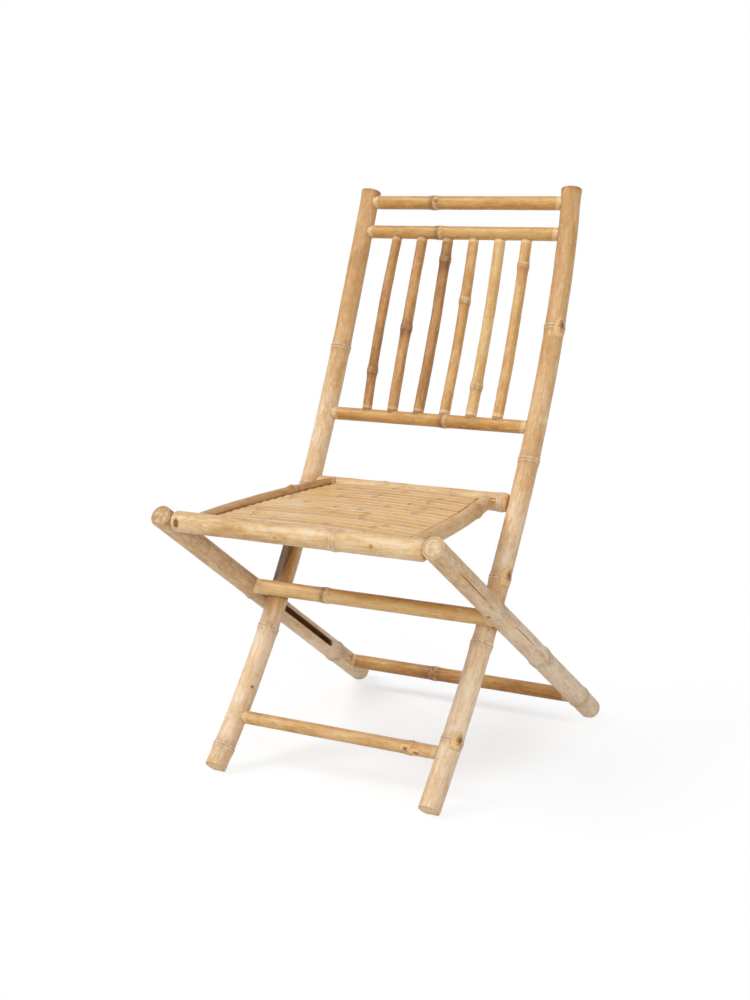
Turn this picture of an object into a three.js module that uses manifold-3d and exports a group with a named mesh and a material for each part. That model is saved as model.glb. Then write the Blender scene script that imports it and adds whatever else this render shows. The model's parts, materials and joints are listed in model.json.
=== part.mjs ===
// A folding side chair made of bamboo culms, in millimetres: +Z up, the front towards -Y.
// Two curved posts carry the back, two straight legs cross them, and the seat joins both.
// Left and right are those of a person sitting in the chair, so left is +X.
import * as THREE from 'three';
import { mergeVertices } from 'three/addons/utils/BufferGeometryUtils.js';
import Module from 'manifold-3d';

const wasm = await Module();
wasm.setup();

const degree = Math.PI / 180;

// Clearances
const fitGap = 0.3;
const runningGap = 0.7;
const stopGap = 0.5;
const bearerGap = 0.5;
const cutOverrun = 2;

// Culm ends and nodes
const cutEdge = 1.2;
const nodeRise = 1.3;
const nodeHalfWidth = 5;

// Posts: the centre line leaves the floor leaning back and straightens towards the top.
// Bow is how far a handle of the curve stands out sideways: no two culms grow alike.
const postTopHeight = 933;
const postTopReach = 537;
const postFootLean = 44.3 * degree;
const postTopLean = 19.2 * degree;
const postFootHandle = 394;
const postTopHandle = 286;
const postFootSpread = 196;
const leftPostTopSpread = 192;
const leftPostLowBow = -1;
const leftPostHighBow = 22;
const rightPostTopSpread = 195;
const rightPostLowBow = -6;
const rightPostHighBow = 11;
const rightPostShortfall = 4;
const postFootRadius = 17.7;
const postTopRadius = 16.5;
const footFlat = 2;
const postTopRounding = 3;

// Rails of the back frame: the upper two hang from the posts' tops, and the lower one stands at a
// share of the way from the seat to the tops
const topRailDrop = 24.5;
const topRailRadius = 11.9;
const railPitch = 51.3;
const secondRailRadius = 11.6;
const lowerRailShare = 0.2316;
const lowerRailRadius = 11.3;
const frontStretcherHeight = 79;
const frontStretcherRadius = 10.8;
const railTenonRadius = 6.5;
const railTenonDepth = 21;

// Spindles
const spindleCount = 6;
const spindlePitch = 49.8;
const spindleRadius = 8.2;
const spindleBow = 8;
const spindleTopShift = -1;
const spindleFootShift = 6;
const spindleTenonRadius = 4.8;
const spindleTenonDepth = 9;

// Seat frame: the front rail turns on the legs and the rear rail on the posts
const frontRailReach = -56.2;
const frontRailHeight = 430;
const frontRailRadius = 16.6;
const rearRailHeight = 430;
const rearRailRadius = 15.3;
const seatRailRounding = 5;
const sideRailFrontSpread = 184;
const sideRailControlSpread = 187;
const sideRailRearSpread = 145;
const sideRailFrontRadius = 12.9;
const sideRailRearRadius = 11.8;
const sideRailTenonRadius = 6;
const sideRailTenonDepth = 10;

// Pivot dowels between the seat rails and the culms beside them
const dowelRadius = 6;
const dowelInRail = 24;
const dowelInCulm = 22;

// Seat slats and the bearers under them
const slatCount = 17;
const slatGap = 0.9;
const slatThickness = 5.6;
const slatEdgeThickness = 3.2;
const slatEndGap = 2;
const slatRise = 6.6;
const seatCrown = 5.5;
const seatCrownHalfWidth = 172;
const slatRowFrontGap = 1.2;
const slatRowRearGap = 1.2;
const bearerRadius = 6.5;
const bearerSpread = 112;
const bearerDepth = 9;

// Legs: straight culms outside the posts, slotted for the sliding pins
const legSpread = 238;
const legTopRadius = 17.5;
const legFootRadius = 18.9;
const legLean = 55.7 * degree;
const legPastRail = 16;
const legFootRounding = 6;
const legTopEdge = 1;
const crossRailRadius = 12.8;
const rearStretcherHeight = 51.8;
const rearStretcherRadius = 12.6;

// Sliding pins and their slots
const pinRadius = 5.5;
const pinPastAxis = 8;
const seatFold = 99 * degree;
const slotSpare = 9;
const legWall = 5.5;
const slotEndWall = 9;

// Facets
const postSides = 16;
const railEndSteps = 2;
const postRuns = 12;
const railSides = 12;
const spindleSides = 10;
const spindleRuns = 4;
const sideRailRuns = 6;
const legRuns = 2;
const tenonSides = 10;
const slatArchSteps = 4;
const slatRuns = 6;
const roundingSteps = 3;
const slotEndFacets = 5;
const halvings = 40;

// Places of the culms' nodes, as shares of each culm's length from its foot, front or right end
const leftPostNodeShares = [0.118, 0.268, 0.372, 0.556, 0.764];
const rightPostNodeShares = [0.035, 0.245, 0.485, 0.725];
const leftLegNodeShares = [0.022, 0.345, 0.645, 0.905];
const rightLegNodeShares = [0.022, 0.29, 0.565, 0.84];
const topRailNodeShares = [0.34];
const secondRailNodeShares = [0.39];
const lowerRailNodeShares = [0.58];
const frontStretcherNodeShares = [0.8];
const crossRailNodeShares = [0.32];
const rearStretcherNodeShares = [0.385];
const frontRailNodeShares = [0.64, 0.985];
const rearRailNodeShares = [0.3, 0.965];
const leftSideRailNodeShares = [0.77];
const rightSideRailNodeShares = [0.79];
const spindleRadiusShares = [0.88, 1.02, 1.04, 1, 1.02, 1];
const spindleNodeShares = [0.24, 0.49, 0.87, 0.66, 0.2, 0.84];
const spindleBowShares = [-1, -0.3, 0.8, 1, 1, 1];

const paleBamboo = { color: 0xd9bb8f, roughness: 0.55, metalness: 0 };
const goldenBamboo = { color: 0xd2a765, roughness: 0.5, metalness: 0 };
const greyBamboo = { color: 0xc7aa85, roughness: 0.6, metalness: 0 };
const brownBamboo = { color: 0xa97b45, roughness: 0.65, metalness: 0 };

const sides = [{ name: 'left', sign: 1 }, { name: 'right', sign: -1 }];
const postForms = {
  left: {
    topSpread: leftPostTopSpread, lowBow: leftPostLowBow, highBow: leftPostHighBow, shortfall: 0,
    nodeShares: leftPostNodeShares,
  },
  right: {
    topSpread: rightPostTopSpread, lowBow: rightPostLowBow, highBow: rightPostHighBow,
    shortfall: rightPostShortfall, nodeShares: rightPostNodeShares,
  },
};
const acrossX = new THREE.Vector3(1, 0, 0);
const upZ = new THREE.Vector3(0, 0, 1);

// Rings of a culm: rounded ends, a swelling at each node and stations between them
function culmRings(length, culm) {
  const radiusAt = (at) => THREE.MathUtils.lerp(culm.radii[0], culm.radii[1], at / length);
  const rings = [];
  for (let k = 0; k <= culm.edgeSteps; k++) {
    const turn = culm.edgeSteps === 0 ? 0 : (k / culm.edgeSteps) * Math.PI / 2;
    const back = 1 - Math.cos(turn);
    const inset = 1 - Math.sin(turn);
    rings.push({ at: culm.startEdge * back, radius: radiusAt(0) - culm.startEdge * inset });
    rings.push({ at: length - culm.endEdge * back, radius: radiusAt(length) - culm.endEdge * inset });
  }
  const nodes = culm.nodeShares.map((share) => share * length);
  for (const at of nodes) {
    rings.push({ at: at - nodeHalfWidth, radius: radiusAt(at - nodeHalfWidth) });
    rings.push({ at, radius: radiusAt(at) + nodeRise });
    rings.push({ at: at + nodeHalfWidth, radius: radiusAt(at + nodeHalfWidth) });
  }
  for (let k = 1; k < culm.runs; k++) {
    const at = length * k / culm.runs;
    if (nodes.every((node) => Math.abs(node - at) > 2 * nodeHalfWidth)) {
      rings.push({ at, radius: radiusAt(at) });
    }
  }
  return rings.sort((a, b) => a.at - b.at);
}

const plainCulm = {
  nodeShares: [], runs: 1, sides: railSides, startEdge: cutEdge, endEdge: cutEdge, edgeSteps: 1,
  reference: acrossX, shortfall: 0,
};

// A closed round culm swept along a curve, grown all round where it serves as a cutter
function culmGeometry(curve, options, grow = 0) {
  const culm = { ...plainCulm, ...options };
  const whole = curve.getLength();
  const length = whole - culm.shortfall;
  const rings = culmRings(length, culm);
  const positions = [];
  const index = [];
  for (const { at, radius } of rings) {
    const share = THREE.MathUtils.clamp(at / whole, 0, 1);
    const centre = curve.getPointAt(share);
    const along = curve.getTangentAt(share);
    const sideways = culm.reference.clone().addScaledVector(along, -culm.reference.dot(along)).normalize();
    const across = along.clone().cross(sideways);
    for (let j = 0; j < culm.sides; j++) {
      const turn = (2 * Math.PI * j) / culm.sides;
      const point = centre.clone()
        .addScaledVector(sideways, (radius + grow) * Math.cos(turn))
        .addScaledVector(across, (radius + grow) * Math.sin(turn));
      positions.push(point.x, point.y, point.z);
    }
  }
  for (let i = 0; i + 1 < rings.length; i++) {
    for (let j = 0; j < culm.sides; j++) {
      const a = i * culm.sides + j;
      const b = i * culm.sides + (j + 1) % culm.sides;
      index.push(a, b, b + culm.sides, a, b + culm.sides, a + culm.sides);
    }
  }
  const last = (rings.length - 1) * culm.sides;
  for (let j = 1; j + 1 < culm.sides; j++) {
    index.push(0, j + 1, j, last, last + j, last + j + 1);
  }
  const geometry = new THREE.BufferGeometry();
  geometry.setAttribute('position', new THREE.Float32BufferAttribute(positions, 3));
  geometry.setIndex(index);
  return geometry;
}

function solidOf(geometry) {
  const plain = geometry.clone();
  plain.deleteAttribute('normal');
  plain.deleteAttribute('uv');
  const merged = mergeVertices(plain);
  return new wasm.Manifold(new wasm.Mesh({
    numProp: 3,
    vertProperties: new Float32Array(merged.attributes.position.array),
    triVerts: new Uint32Array(merged.index.array),
  }));
}

function geometryOf(solid) {
  const { vertProperties, triVerts, numProp } = solid.getMesh();
  const positions = [];
  for (let k = 0; k < vertProperties.length; k += numProp) {
    positions.push(vertProperties[k], vertProperties[k + 1], vertProperties[k + 2]);
  }
  const geometry = new THREE.BufferGeometry();
  geometry.setAttribute('position', new THREE.Float32BufferAttribute(positions, 3));
  geometry.setIndex(Array.from(triVerts));
  geometry.computeVertexNormals();
  return geometry;
}

function pieceOf(name, solid, finish) {
  const material = new THREE.MeshStandardMaterial({ ...finish, flatShading: true });
  const mesh = new THREE.Mesh(geometryOf(solid), material);
  mesh.name = name;
  return mesh;
}

const culmSolid = (curve, options, grow = 0) => solidOf(culmGeometry(curve, options, grow));

// A plain round bar between two points, for tenons, dowels, pins and the bores they sit in
function barSolid(from, to, radius, sidesOfBar = tenonSides) {
  const alongX = Math.abs(to.x - from.x) > Math.abs(to.y - from.y) + Math.abs(to.z - from.z);
  return culmSolid(new THREE.LineCurve3(from, to), {
    radii: [radius, radius], sides: sidesOfBar, startEdge: 0, endEdge: 0, edgeSteps: 0,
    reference: alongX ? upZ : acrossX,
  });
}

// Height of a leaning culm's end centre when its worn lower edge stands on the floor
function footHeight(radius, lean, rounding) {
  return (radius - rounding) * Math.sin(lean) + rounding * (1 - Math.cos(lean)) - footFlat;
}

// Centre lines of the posts
function postCurve(sign) {
  const form = sign > 0 ? postForms.left : postForms.right;
  const foot = new THREE.Vector3(
    sign * postFootSpread, 0, footHeight(postFootRadius, postFootLean, cutEdge));
  const top = new THREE.Vector3(sign * form.topSpread, postTopReach, postTopHeight);
  const footHandle = new THREE.Vector3(
    sign * form.lowBow, postFootHandle * Math.sin(postFootLean), postFootHandle * Math.cos(postFootLean));
  const topHandle = new THREE.Vector3(
    sign * form.highBow, -postTopHandle * Math.sin(postTopLean), -postTopHandle * Math.cos(postTopLean));
  return new THREE.CubicBezierCurve3(foot, foot.clone().add(footHandle), top.clone().add(topHandle), top);
}

// The point of a post's centre line at a height, found by halving
function postPointAt(height, sign = 1) {
  const curve = postCurve(sign);
  let low = 0;
  let high = 1;
  for (let k = 0; k < halvings; k++) {
    const middle = (low + high) / 2;
    if (curve.getPoint(middle).z < height) low = middle;
    else high = middle;
  }
  return curve.getPoint(low);
}

const rearRailAt = postPointAt(rearRailHeight).setX(0);
const postCulm = (form) => ({
  radii: [postFootRadius, postTopRadius], nodeShares: form.nodeShares, runs: postRuns, sides: postSides,
  shortfall: form.shortfall, endEdge: postTopRounding, edgeSteps: railEndSteps,
});
const postRadiusAt = (height) =>
  THREE.MathUtils.lerp(postFootRadius, postTopRadius, height / postTopHeight);

// Centre lines of the legs, from the top end to the foot
const legAlong = new THREE.Vector3(0, Math.sin(legLean), -Math.cos(legLean));
const frontRailAt = new THREE.Vector3(0, frontRailReach, frontRailHeight);
const legPointAt = (distance, sign = 0) =>
  frontRailAt.clone().addScaledVector(legAlong, distance).setX(sign * legSpread);
const legDistanceAt = (height) => (frontRailHeight - height) / Math.cos(legLean);
const legFootDistance = legDistanceAt(footHeight(legFootRadius, legLean, legFootRounding));
const legNodes = { left: leftLegNodeShares, right: rightLegNodeShares };
const legLength = legFootDistance + legPastRail;
const legRadiusAt = (distance) =>
  THREE.MathUtils.lerp(legTopRadius, legFootRadius, (distance + legPastRail) / legLength);
const legCurve = (sign) =>
  new THREE.LineCurve3(legPointAt(-legPastRail, sign), legPointAt(legFootDistance, sign));
const legCulm = (nodeShares) => ({
  radii: [legTopRadius, legFootRadius], nodeShares, runs: legRuns, sides: postSides, startEdge: legTopEdge,
  endEdge: legFootRounding, edgeSteps: roundingSteps,
});

// The crossing: the pin stands where the post's centre line meets the leg's
function crossingDistance() {
  let low = legDistanceAt(frontRailHeight);
  let high = legFootDistance;
  for (let k = 0; k < halvings; k++) {
    const middle = (low + high) / 2;
    const point = legPointAt(middle);
    if (postPointAt(point.z).y > point.y) low = middle;
    else high = middle;
  }
  return low;
}
const pinDistance = crossingDistance();
const crossingAt = legPointAt(pinDistance);

// How far the pins run down the slots while the seat folds up against the back
function pinTravelAt(fold) {
  const seatLength = rearRailAt.distanceTo(frontRailAt);
  const postLength = rearRailAt.distanceTo(crossingAt);
  const toFront = frontRailAt.clone().sub(rearRailAt);
  const openAngle = toFront.angleTo(crossingAt.clone().sub(rearRailAt));
  const pinToFront = Math.hypot(
    seatLength - postLength * Math.cos(openAngle + fold), postLength * Math.sin(openAngle + fold));
  return pinToFront - pinDistance;
}

// Rails that run across the chair, coped to the culms that they meet and tenoned into them
function crossRail(name, place, rail, carriers, finish) {
  const ends = sides.map(({ sign }) => place(sign));
  const [left, right] = ends;
  const curve = new THREE.LineCurve3(right, left);
  const culm = { ...rail, reference: upZ };
  let solid = culmSolid(curve, culm);
  for (const { name: side, sign } of sides) {
    const carrier = carriers[side];
    const shoulder = place(sign).x - sign * (carrier.radius + rail.radii[0]);
    const tenonEnd = place(sign).x + sign * (railTenonDepth - carrier.radius);
    const tenon = barSolid(place(sign).setX(shoulder), place(sign).setX(tenonEnd), railTenonRadius);
    solid = solid.subtract(carrier.cutter).add(tenon);
  }
  return { name, solid, finish, cutter: culmSolid(curve, culm, fitGap) };
}

function railBore(place, sign, carrierRadius) {
  const mouth = place(sign).x - sign * (carrierRadius + nodeRise + cutOverrun);
  const end = place(sign).x + sign * (railTenonDepth - carrierRadius + fitGap);
  return barSolid(place(sign).setX(mouth), place(sign).setX(end), railTenonRadius + fitGap);
}

const floorCut = (() => {
  const depth = postTopHeight;
  const block = new THREE.BoxGeometry(2 * postTopHeight, 4 * postTopHeight, depth);
  block.translate(0, 0, -depth / 2);
  return solidOf(block);
})();

// Back frame
const topRailHeight = postTopHeight - topRailDrop;
const secondRailHeight = topRailHeight - railPitch;
const lowerRailHeight = rearRailHeight + lowerRailShare * (postTopHeight - rearRailHeight);
const backRails = [
  { name: 'top_back_rail', height: topRailHeight, radius: topRailRadius, nodeShares: topRailNodeShares },
  {
    name: 'second_back_rail', height: secondRailHeight, radius: secondRailRadius,
    nodeShares: secondRailNodeShares,
  },
  {
    name: 'lower_back_rail', height: lowerRailHeight, radius: lowerRailRadius,
    nodeShares: lowerRailNodeShares,
  },
  {
    name: 'front_stretcher', height: frontStretcherHeight, radius: frontStretcherRadius,
    nodeShares: frontStretcherNodeShares,
  },
];

function spindleCurve(number) {
  const middle = (spindleCount - 1) / 2;
  const foot = postPointAt(lowerRailHeight).setX((number - middle) * spindlePitch + spindleFootShift);
  const top = postPointAt(secondRailHeight).setX((number - middle) * spindlePitch + spindleTopShift);
  const bow = 2 * spindleBow * spindleBowShares[number];
  const control = foot.clone().lerp(top, 0.5).add(new THREE.Vector3(0, bow, 0));
  return new THREE.QuadraticBezierCurve3(foot, control, top);
}

// The two tenons of a spindle, or with growth the bores that they sit in
function spindleTenons(number, grow) {
  const curve = spindleCurve(number);
  const ends = [
    { share: 0, inward: 1, railRadius: lowerRailRadius },
    { share: 1, inward: -1, railRadius: secondRailRadius },
  ];
  return ends.map(({ share, inward, railRadius }) => {
    const along = curve.getTangentAt(share).multiplyScalar(inward);
    return barSolid(
      curve.getPointAt(share).addScaledVector(along, railRadius - spindleTenonDepth - grow),
      curve.getPointAt(share).addScaledVector(along, railRadius + spindleRadius),
      spindleTenonRadius + grow);
  });
}

function makeBackFrame() {
  const group = new THREE.Group();
  const posts = {};
  for (const { name, sign } of sides) {
    const culm = postCulm(postForms[name]);
    const curve = postCurve(sign);
    posts[name] = { solid: culmSolid(curve, culm), cutter: culmSolid(curve, culm, fitGap) };
  }
  for (const rail of backRails) {
    const place = (sign) => postPointAt(rail.height, sign);
    const carriers = {};
    for (const { name, sign } of sides) {
      const radius = postRadiusAt(rail.height);
      carriers[name] = { radius, cutter: posts[name].cutter };
      posts[name].solid = posts[name].solid.subtract(railBore(place, sign, radius));
    }
    const culm = { radii: [rail.radius, rail.radius], nodeShares: rail.nodeShares };
    rail.piece = crossRail(rail.name, place, culm, carriers, goldenBamboo);
  }
  const [, second, lower] = backRails;
  for (let number = 0; number < spindleCount; number++) {
    const radius = spindleRadius * spindleRadiusShares[number];
    const [footTenon, topTenon] = spindleTenons(number, 0);
    const [footBore, topBore] = spindleTenons(number, fitGap);
    const spindle = culmSolid(spindleCurve(number), {
      radii: [radius, radius], nodeShares: [spindleNodeShares[number]], sides: spindleSides,
      runs: spindleRuns,
    }).subtract(lower.piece.cutter).subtract(second.piece.cutter).add(footTenon).add(topTenon);
    lower.piece.solid = lower.piece.solid.subtract(footBore);
    second.piece.solid = second.piece.solid.subtract(topBore);
    group.add(pieceOf(`back_spindle_${number + 1}`, spindle, goldenBamboo));
  }
  for (const { piece } of backRails) group.add(pieceOf(piece.name, piece.solid, piece.finish));
  for (const { name, sign } of sides) {
    const inner = postPointAt(rearRailHeight, sign).setX(sign * (rearRailEnd(sign) - cutOverrun));
    const outer = inner.clone().setX(sign * (rearRailEnd(sign) + runningGap + dowelInCulm + runningGap));
    const bore = barSolid(inner, outer, dowelRadius + runningGap);
    const solid = posts[name].solid.subtract(bore).subtract(floorCut);
    group.add(pieceOf(`${name}_post`, solid, paleBamboo));
  }
  return group;
}

// Half lengths of the two seat rails that turn between other culms
const rearRailEnd = (sign) =>
  Math.abs(postPointAt(rearRailHeight, sign).x) - postRadiusAt(rearRailHeight) - runningGap;
const frontRailEnd = () => legSpread - legRadiusAt(0) - runningGap;

// Leg frame
function slotCutter(sign) {
  const half = pinRadius + fitGap;
  const start = pinDistance;
  const end = pinDistance + pinTravelAt(seatFold) + slotSpare;
  const outline = new THREE.Shape();
  outline.absarc(0, 0, half, Math.PI / 2, 3 * Math.PI / 2, false);
  outline.absarc(end - start, 0, half, -Math.PI / 2, Math.PI / 2, false);
  const depth = legFootRadius + nodeRise + cutOverrun;
  const geometry = new THREE.ExtrudeGeometry(
    outline, { depth, bevelEnabled: false, curveSegments: slotEndFacets });
  const normal = new THREE.Vector3().crossVectors(acrossX, legAlong);
  const basis = new THREE.Matrix4().makeBasis(legAlong, normal.clone().negate(), acrossX.clone().negate());
  geometry.applyMatrix4(basis);
  const from = legPointAt(start, sign);
  const shift = sign > 0 ? 0 : depth;
  geometry.translate(from.x + shift, from.y, from.z);
  return solidOf(geometry);
}

function legCavity(sign) {
  const from = pinDistance - pinRadius - slotEndWall;
  const to = pinDistance + pinTravelAt(seatFold) + slotSpare + pinRadius + slotEndWall;
  return barSolid(legPointAt(from, sign), legPointAt(to, sign), legRadiusAt(from) - legWall, postSides);
}

const crossRailDistance = pinDistance - postRadiusAt(crossingAt.z) - crossRailRadius - stopGap;
const rearStretcherDistance = legDistanceAt(rearStretcherHeight);

function makeLegFrame() {
  const group = new THREE.Group();
  const legs = {};
  for (const { name, sign } of sides) {
    const culm = legCulm(legNodes[name]);
    const inner = legPointAt(0, sign).setX(sign * (frontRailEnd() - cutOverrun));
    const outer = inner.clone().setX(sign * (frontRailEnd() + runningGap + dowelInCulm + runningGap));
    legs[name] = {
      solid: culmSolid(legCurve(sign), culm)
        .subtract(legCavity(sign))
        .subtract(slotCutter(sign))
        .subtract(barSolid(inner, outer, dowelRadius + runningGap))
        .subtract(floorCut),
      cutter: culmSolid(legCurve(sign), culm, fitGap),
    };
  }
  const rails = [
    {
      name: 'cross_rail', distance: crossRailDistance, radius: crossRailRadius,
      nodeShares: crossRailNodeShares,
    },
    {
      name: 'rear_stretcher', distance: rearStretcherDistance, radius: rearStretcherRadius,
      nodeShares: rearStretcherNodeShares,
    },
  ];
  for (const rail of rails) {
    const place = (sign) => legPointAt(rail.distance, sign);
    const carriers = {};
    for (const { name, sign } of sides) {
      const radius = legRadiusAt(rail.distance);
      carriers[name] = { radius, cutter: legs[name].cutter };
      legs[name].solid = legs[name].solid.subtract(railBore(place, sign, radius));
    }
    const culm = { radii: [rail.radius, rail.radius], nodeShares: rail.nodeShares };
    const piece = crossRail(rail.name, place, culm, carriers, goldenBamboo);
    group.add(pieceOf(piece.name, piece.solid, piece.finish));
  }
  for (const { name } of sides) group.add(pieceOf(`${name}_leg`, legs[name].solid, greyBamboo));
  return group;
}

function makeSlidePins() {
  const group = new THREE.Group();
  for (const { name, sign } of sides) {
    const post = postPointAt(crossingAt.z, sign);
    const inner = crossingAt.clone().setX(post.x + sign * (postRadiusAt(crossingAt.z) + nodeRise + fitGap));
    const outer = crossingAt.clone().setX(sign * (legSpread + pinPastAxis));
    group.add(pieceOf(`${name}_slide_pin`, barSolid(inner, outer, pinRadius, spindleSides), brownBamboo));
  }
  return group;
}

// Seat: its plane runs through the two seat rails' centre lines
const seatDepth = rearRailAt.y - frontRailAt.y;
const seatHeightAt = (y) =>
  THREE.MathUtils.lerp(frontRailAt.z, rearRailAt.z, (y - frontRailAt.y) / seatDepth);
const crownAt = (x) => seatCrown * (1 - (x / seatCrownHalfWidth) ** 2);

const sideRailCurve = (sign) => new THREE.QuadraticBezierCurve3(
  frontRailAt.clone().setX(sign * sideRailFrontSpread),
  frontRailAt.clone().lerp(rearRailAt, 0.5).setX(sign * sideRailControlSpread),
  rearRailAt.clone().setX(sign * sideRailRearSpread));

function sideRailSpreadAt(y) {
  const share = (y - frontRailAt.y) / seatDepth;
  return sideRailCurve(1).getPoint(share).x;
}
const sideRailRadiusAt = (y) =>
  THREE.MathUtils.lerp(sideRailFrontRadius, sideRailRearRadius, (y - frontRailAt.y) / seatDepth);

// One slat: a split strip with a flat underside and a rounded back, bowed up across the seat
function slatGeometry(y, width) {
  const half = sideRailSpreadAt(y) - sideRailRadiusAt(y) - slatEndGap;
  const section = [];
  section.push([-width / 2, 0], [width / 2, 0]);
  for (let k = 0; k <= slatArchSteps; k++) {
    const across = 1 - (2 * k) / slatArchSteps;
    const height = slatEdgeThickness + (slatThickness - slatEdgeThickness) * (1 - across ** 2);
    section.push([across * width / 2, height]);
  }
  const stations = [];
  for (let k = 0; k <= slatRuns; k++) stations.push(-half + (2 * half * k) / slatRuns);
  const positions = [];
  const index = [];
  for (const x of stations) {
    for (const [along, height] of section) {
      positions.push(x, y + along, seatHeightAt(y) + slatRise - slatThickness + crownAt(x) + height);
    }
  }
  const points = section.length;
  for (let i = 0; i + 1 < stations.length; i++) {
    for (let j = 0; j < points; j++) {
      const a = i * points + j;
      const b = i * points + (j + 1) % points;
      index.push(a, b, b + points, a, b + points, a + points);
    }
  }
  const last = (stations.length - 1) * points;
  for (let j = 1; j + 1 < points; j++) index.push(0, j + 1, j, last, last + j, last + j + 1);
  const geometry = new THREE.BufferGeometry();
  geometry.setAttribute('position', new THREE.Float32BufferAttribute(positions, 3));
  geometry.setIndex(index);
  return geometry;
}

function makeSeat() {
  const group = new THREE.Group();
  const frontCurve = new THREE.LineCurve3(
    frontRailAt.clone().setX(-frontRailEnd()), frontRailAt.clone().setX(frontRailEnd()));
  const rearCurve = new THREE.LineCurve3(
    rearRailAt.clone().setX(-rearRailEnd(-1)), rearRailAt.clone().setX(rearRailEnd(1)));
  const frontCulm = {
    radii: [frontRailRadius, frontRailRadius], nodeShares: frontRailNodeShares, reference: upZ,
    startEdge: seatRailRounding, endEdge: seatRailRounding, edgeSteps: railEndSteps, sides: postSides,
  };
  const rearCulm = {
    ...frontCulm, radii: [rearRailRadius, rearRailRadius], nodeShares: rearRailNodeShares,
  };
  let front = culmSolid(frontCurve, frontCulm);
  let rear = culmSolid(rearCurve, rearCulm);
  const frontCutter = culmSolid(frontCurve, frontCulm, fitGap);
  const rearCutter = culmSolid(rearCurve, rearCulm, fitGap);

  const seatAlong = rearRailAt.clone().sub(frontRailAt).normalize();
  const sideNodes = { left: leftSideRailNodeShares, right: rightSideRailNodeShares };
  for (const { name, sign } of sides) {
    const curve = sideRailCurve(sign);
    const frontIn = frontRailRadius - sideRailTenonDepth;
    const rearIn = rearRailRadius - sideRailTenonDepth;
    const tenons = (grow) => [
      barSolid(
        curve.getPoint(0).addScaledVector(curve.getTangent(0), frontIn - grow),
        curve.getPoint(0).addScaledVector(curve.getTangent(0), frontRailRadius + sideRailFrontRadius),
        sideRailTenonRadius + grow),
      barSolid(
        curve.getPoint(1).addScaledVector(curve.getTangent(1), -rearRailRadius - sideRailRearRadius),
        curve.getPoint(1).addScaledVector(curve.getTangent(1), -rearIn + grow),
        sideRailTenonRadius + grow),
    ];
    const [frontTenon, rearTenon] = tenons(0);
    const [frontBore, rearBore] = tenons(fitGap);
    const rail = culmSolid(curve, {
      radii: [sideRailFrontRadius, sideRailRearRadius], nodeShares: sideNodes[name],
      runs: sideRailRuns, reference: upZ,
    }).subtract(frontCutter).subtract(rearCutter).add(frontTenon).add(rearTenon);
    group.add(pieceOf(`${name}_side_rail`, rail, brownBamboo));
    front = front.subtract(frontBore);
    rear = rear.subtract(rearBore);
  }

  for (const [number, x] of [-bearerSpread, 0, bearerSpread].entries()) {
    const drop = slatRise - slatThickness + crownAt(x) - bearerGap - bearerRadius;
    const from = frontRailAt.clone().addScaledVector(seatAlong, frontRailRadius - bearerDepth);
    const to = rearRailAt.clone().addScaledVector(seatAlong, bearerDepth - rearRailRadius);
    const bar = (grow) => barSolid(
      from.clone().addScaledVector(seatAlong, -grow).add(new THREE.Vector3(x, 0, drop)),
      to.clone().addScaledVector(seatAlong, grow).add(new THREE.Vector3(x, 0, drop)),
      bearerRadius + grow, spindleSides);
    group.add(pieceOf(`seat_bearer_${number + 1}`, bar(0), goldenBamboo));
    front = front.subtract(bar(fitGap));
    rear = rear.subtract(bar(fitGap));
  }

  for (const { name, sign } of sides) {
    const ends = [
      { place: frontRailAt, end: frontRailEnd(), key: 'front' },
      { place: rearRailAt, end: rearRailEnd(sign), key: 'rear' },
    ];
    for (const { place, end, key } of ends) {
      const inner = place.clone().setX(sign * (end - dowelInRail));
      const outer = place.clone().setX(sign * (end + runningGap + dowelInCulm));
      group.add(pieceOf(`${name}_${key}_pivot_dowel`, barSolid(inner, outer, dowelRadius), brownBamboo));
      const bore = barSolid(
        inner.clone().setX(inner.x - sign * fitGap), outer.clone().setX(sign * (end + cutOverrun)),
        dowelRadius + fitGap);
      if (key === 'front') front = front.subtract(bore);
      else rear = rear.subtract(bore);
    }
  }
  group.add(pieceOf('front_seat_rail', front, paleBamboo), pieceOf('rear_seat_rail', rear, paleBamboo));

  const rowFront = frontRailAt.y + frontRailRadius + slatRowFrontGap;
  const rowRear = rearRailAt.y - rearRailRadius - slatRowRearGap;
  const pitch = (rowRear - rowFront) / slatCount;
  for (let number = 0; number < slatCount; number++) {
    const y = rowFront + (number + 0.5) * pitch;
    const geometry = slatGeometry(y, pitch - slatGap);
    const label = String(number + 1).padStart(2, '0');
    group.add(pieceOf(`seat_slat_${label}`, solidOf(geometry), goldenBamboo));
  }
  return group;
}

const chair = new THREE.Group();
chair.add(makeBackFrame(), makeLegFrame(), makeSlidePins(), makeSeat());

// The origin stands on the floor in the middle of the whole chair
const reach = new THREE.Box3().setFromObject(chair);
const middle = reach.getCenter(new THREE.Vector3());
chair.position.set(-middle.x, -middle.y, -reach.min.z);
chair.updateMatrixWorld(true);

export default chair;
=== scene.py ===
"""A folding side chair of bamboo culms: fine culms, split slats and a plain studio around the frame.

Lengths are in metres unless a name says otherwise. +Z is up, the front looks towards -Y, and the
sitter's left is +X. A culm is described along its own centre line: a share is a place along it and a
turn is an angle round it, in degrees.
"""

import json
import logging
import math
from dataclasses import dataclass
from enum import Enum
from functools import cache, reduce
from typing import Iterable, Optional, Sequence

import bmesh
import bpy
import numpy as np
from bpy.types import Curve, ID, Material, Mesh, Modifier, Node, NodeSocket, NodeTree, Object
from mathutils import Matrix, Vector


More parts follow.
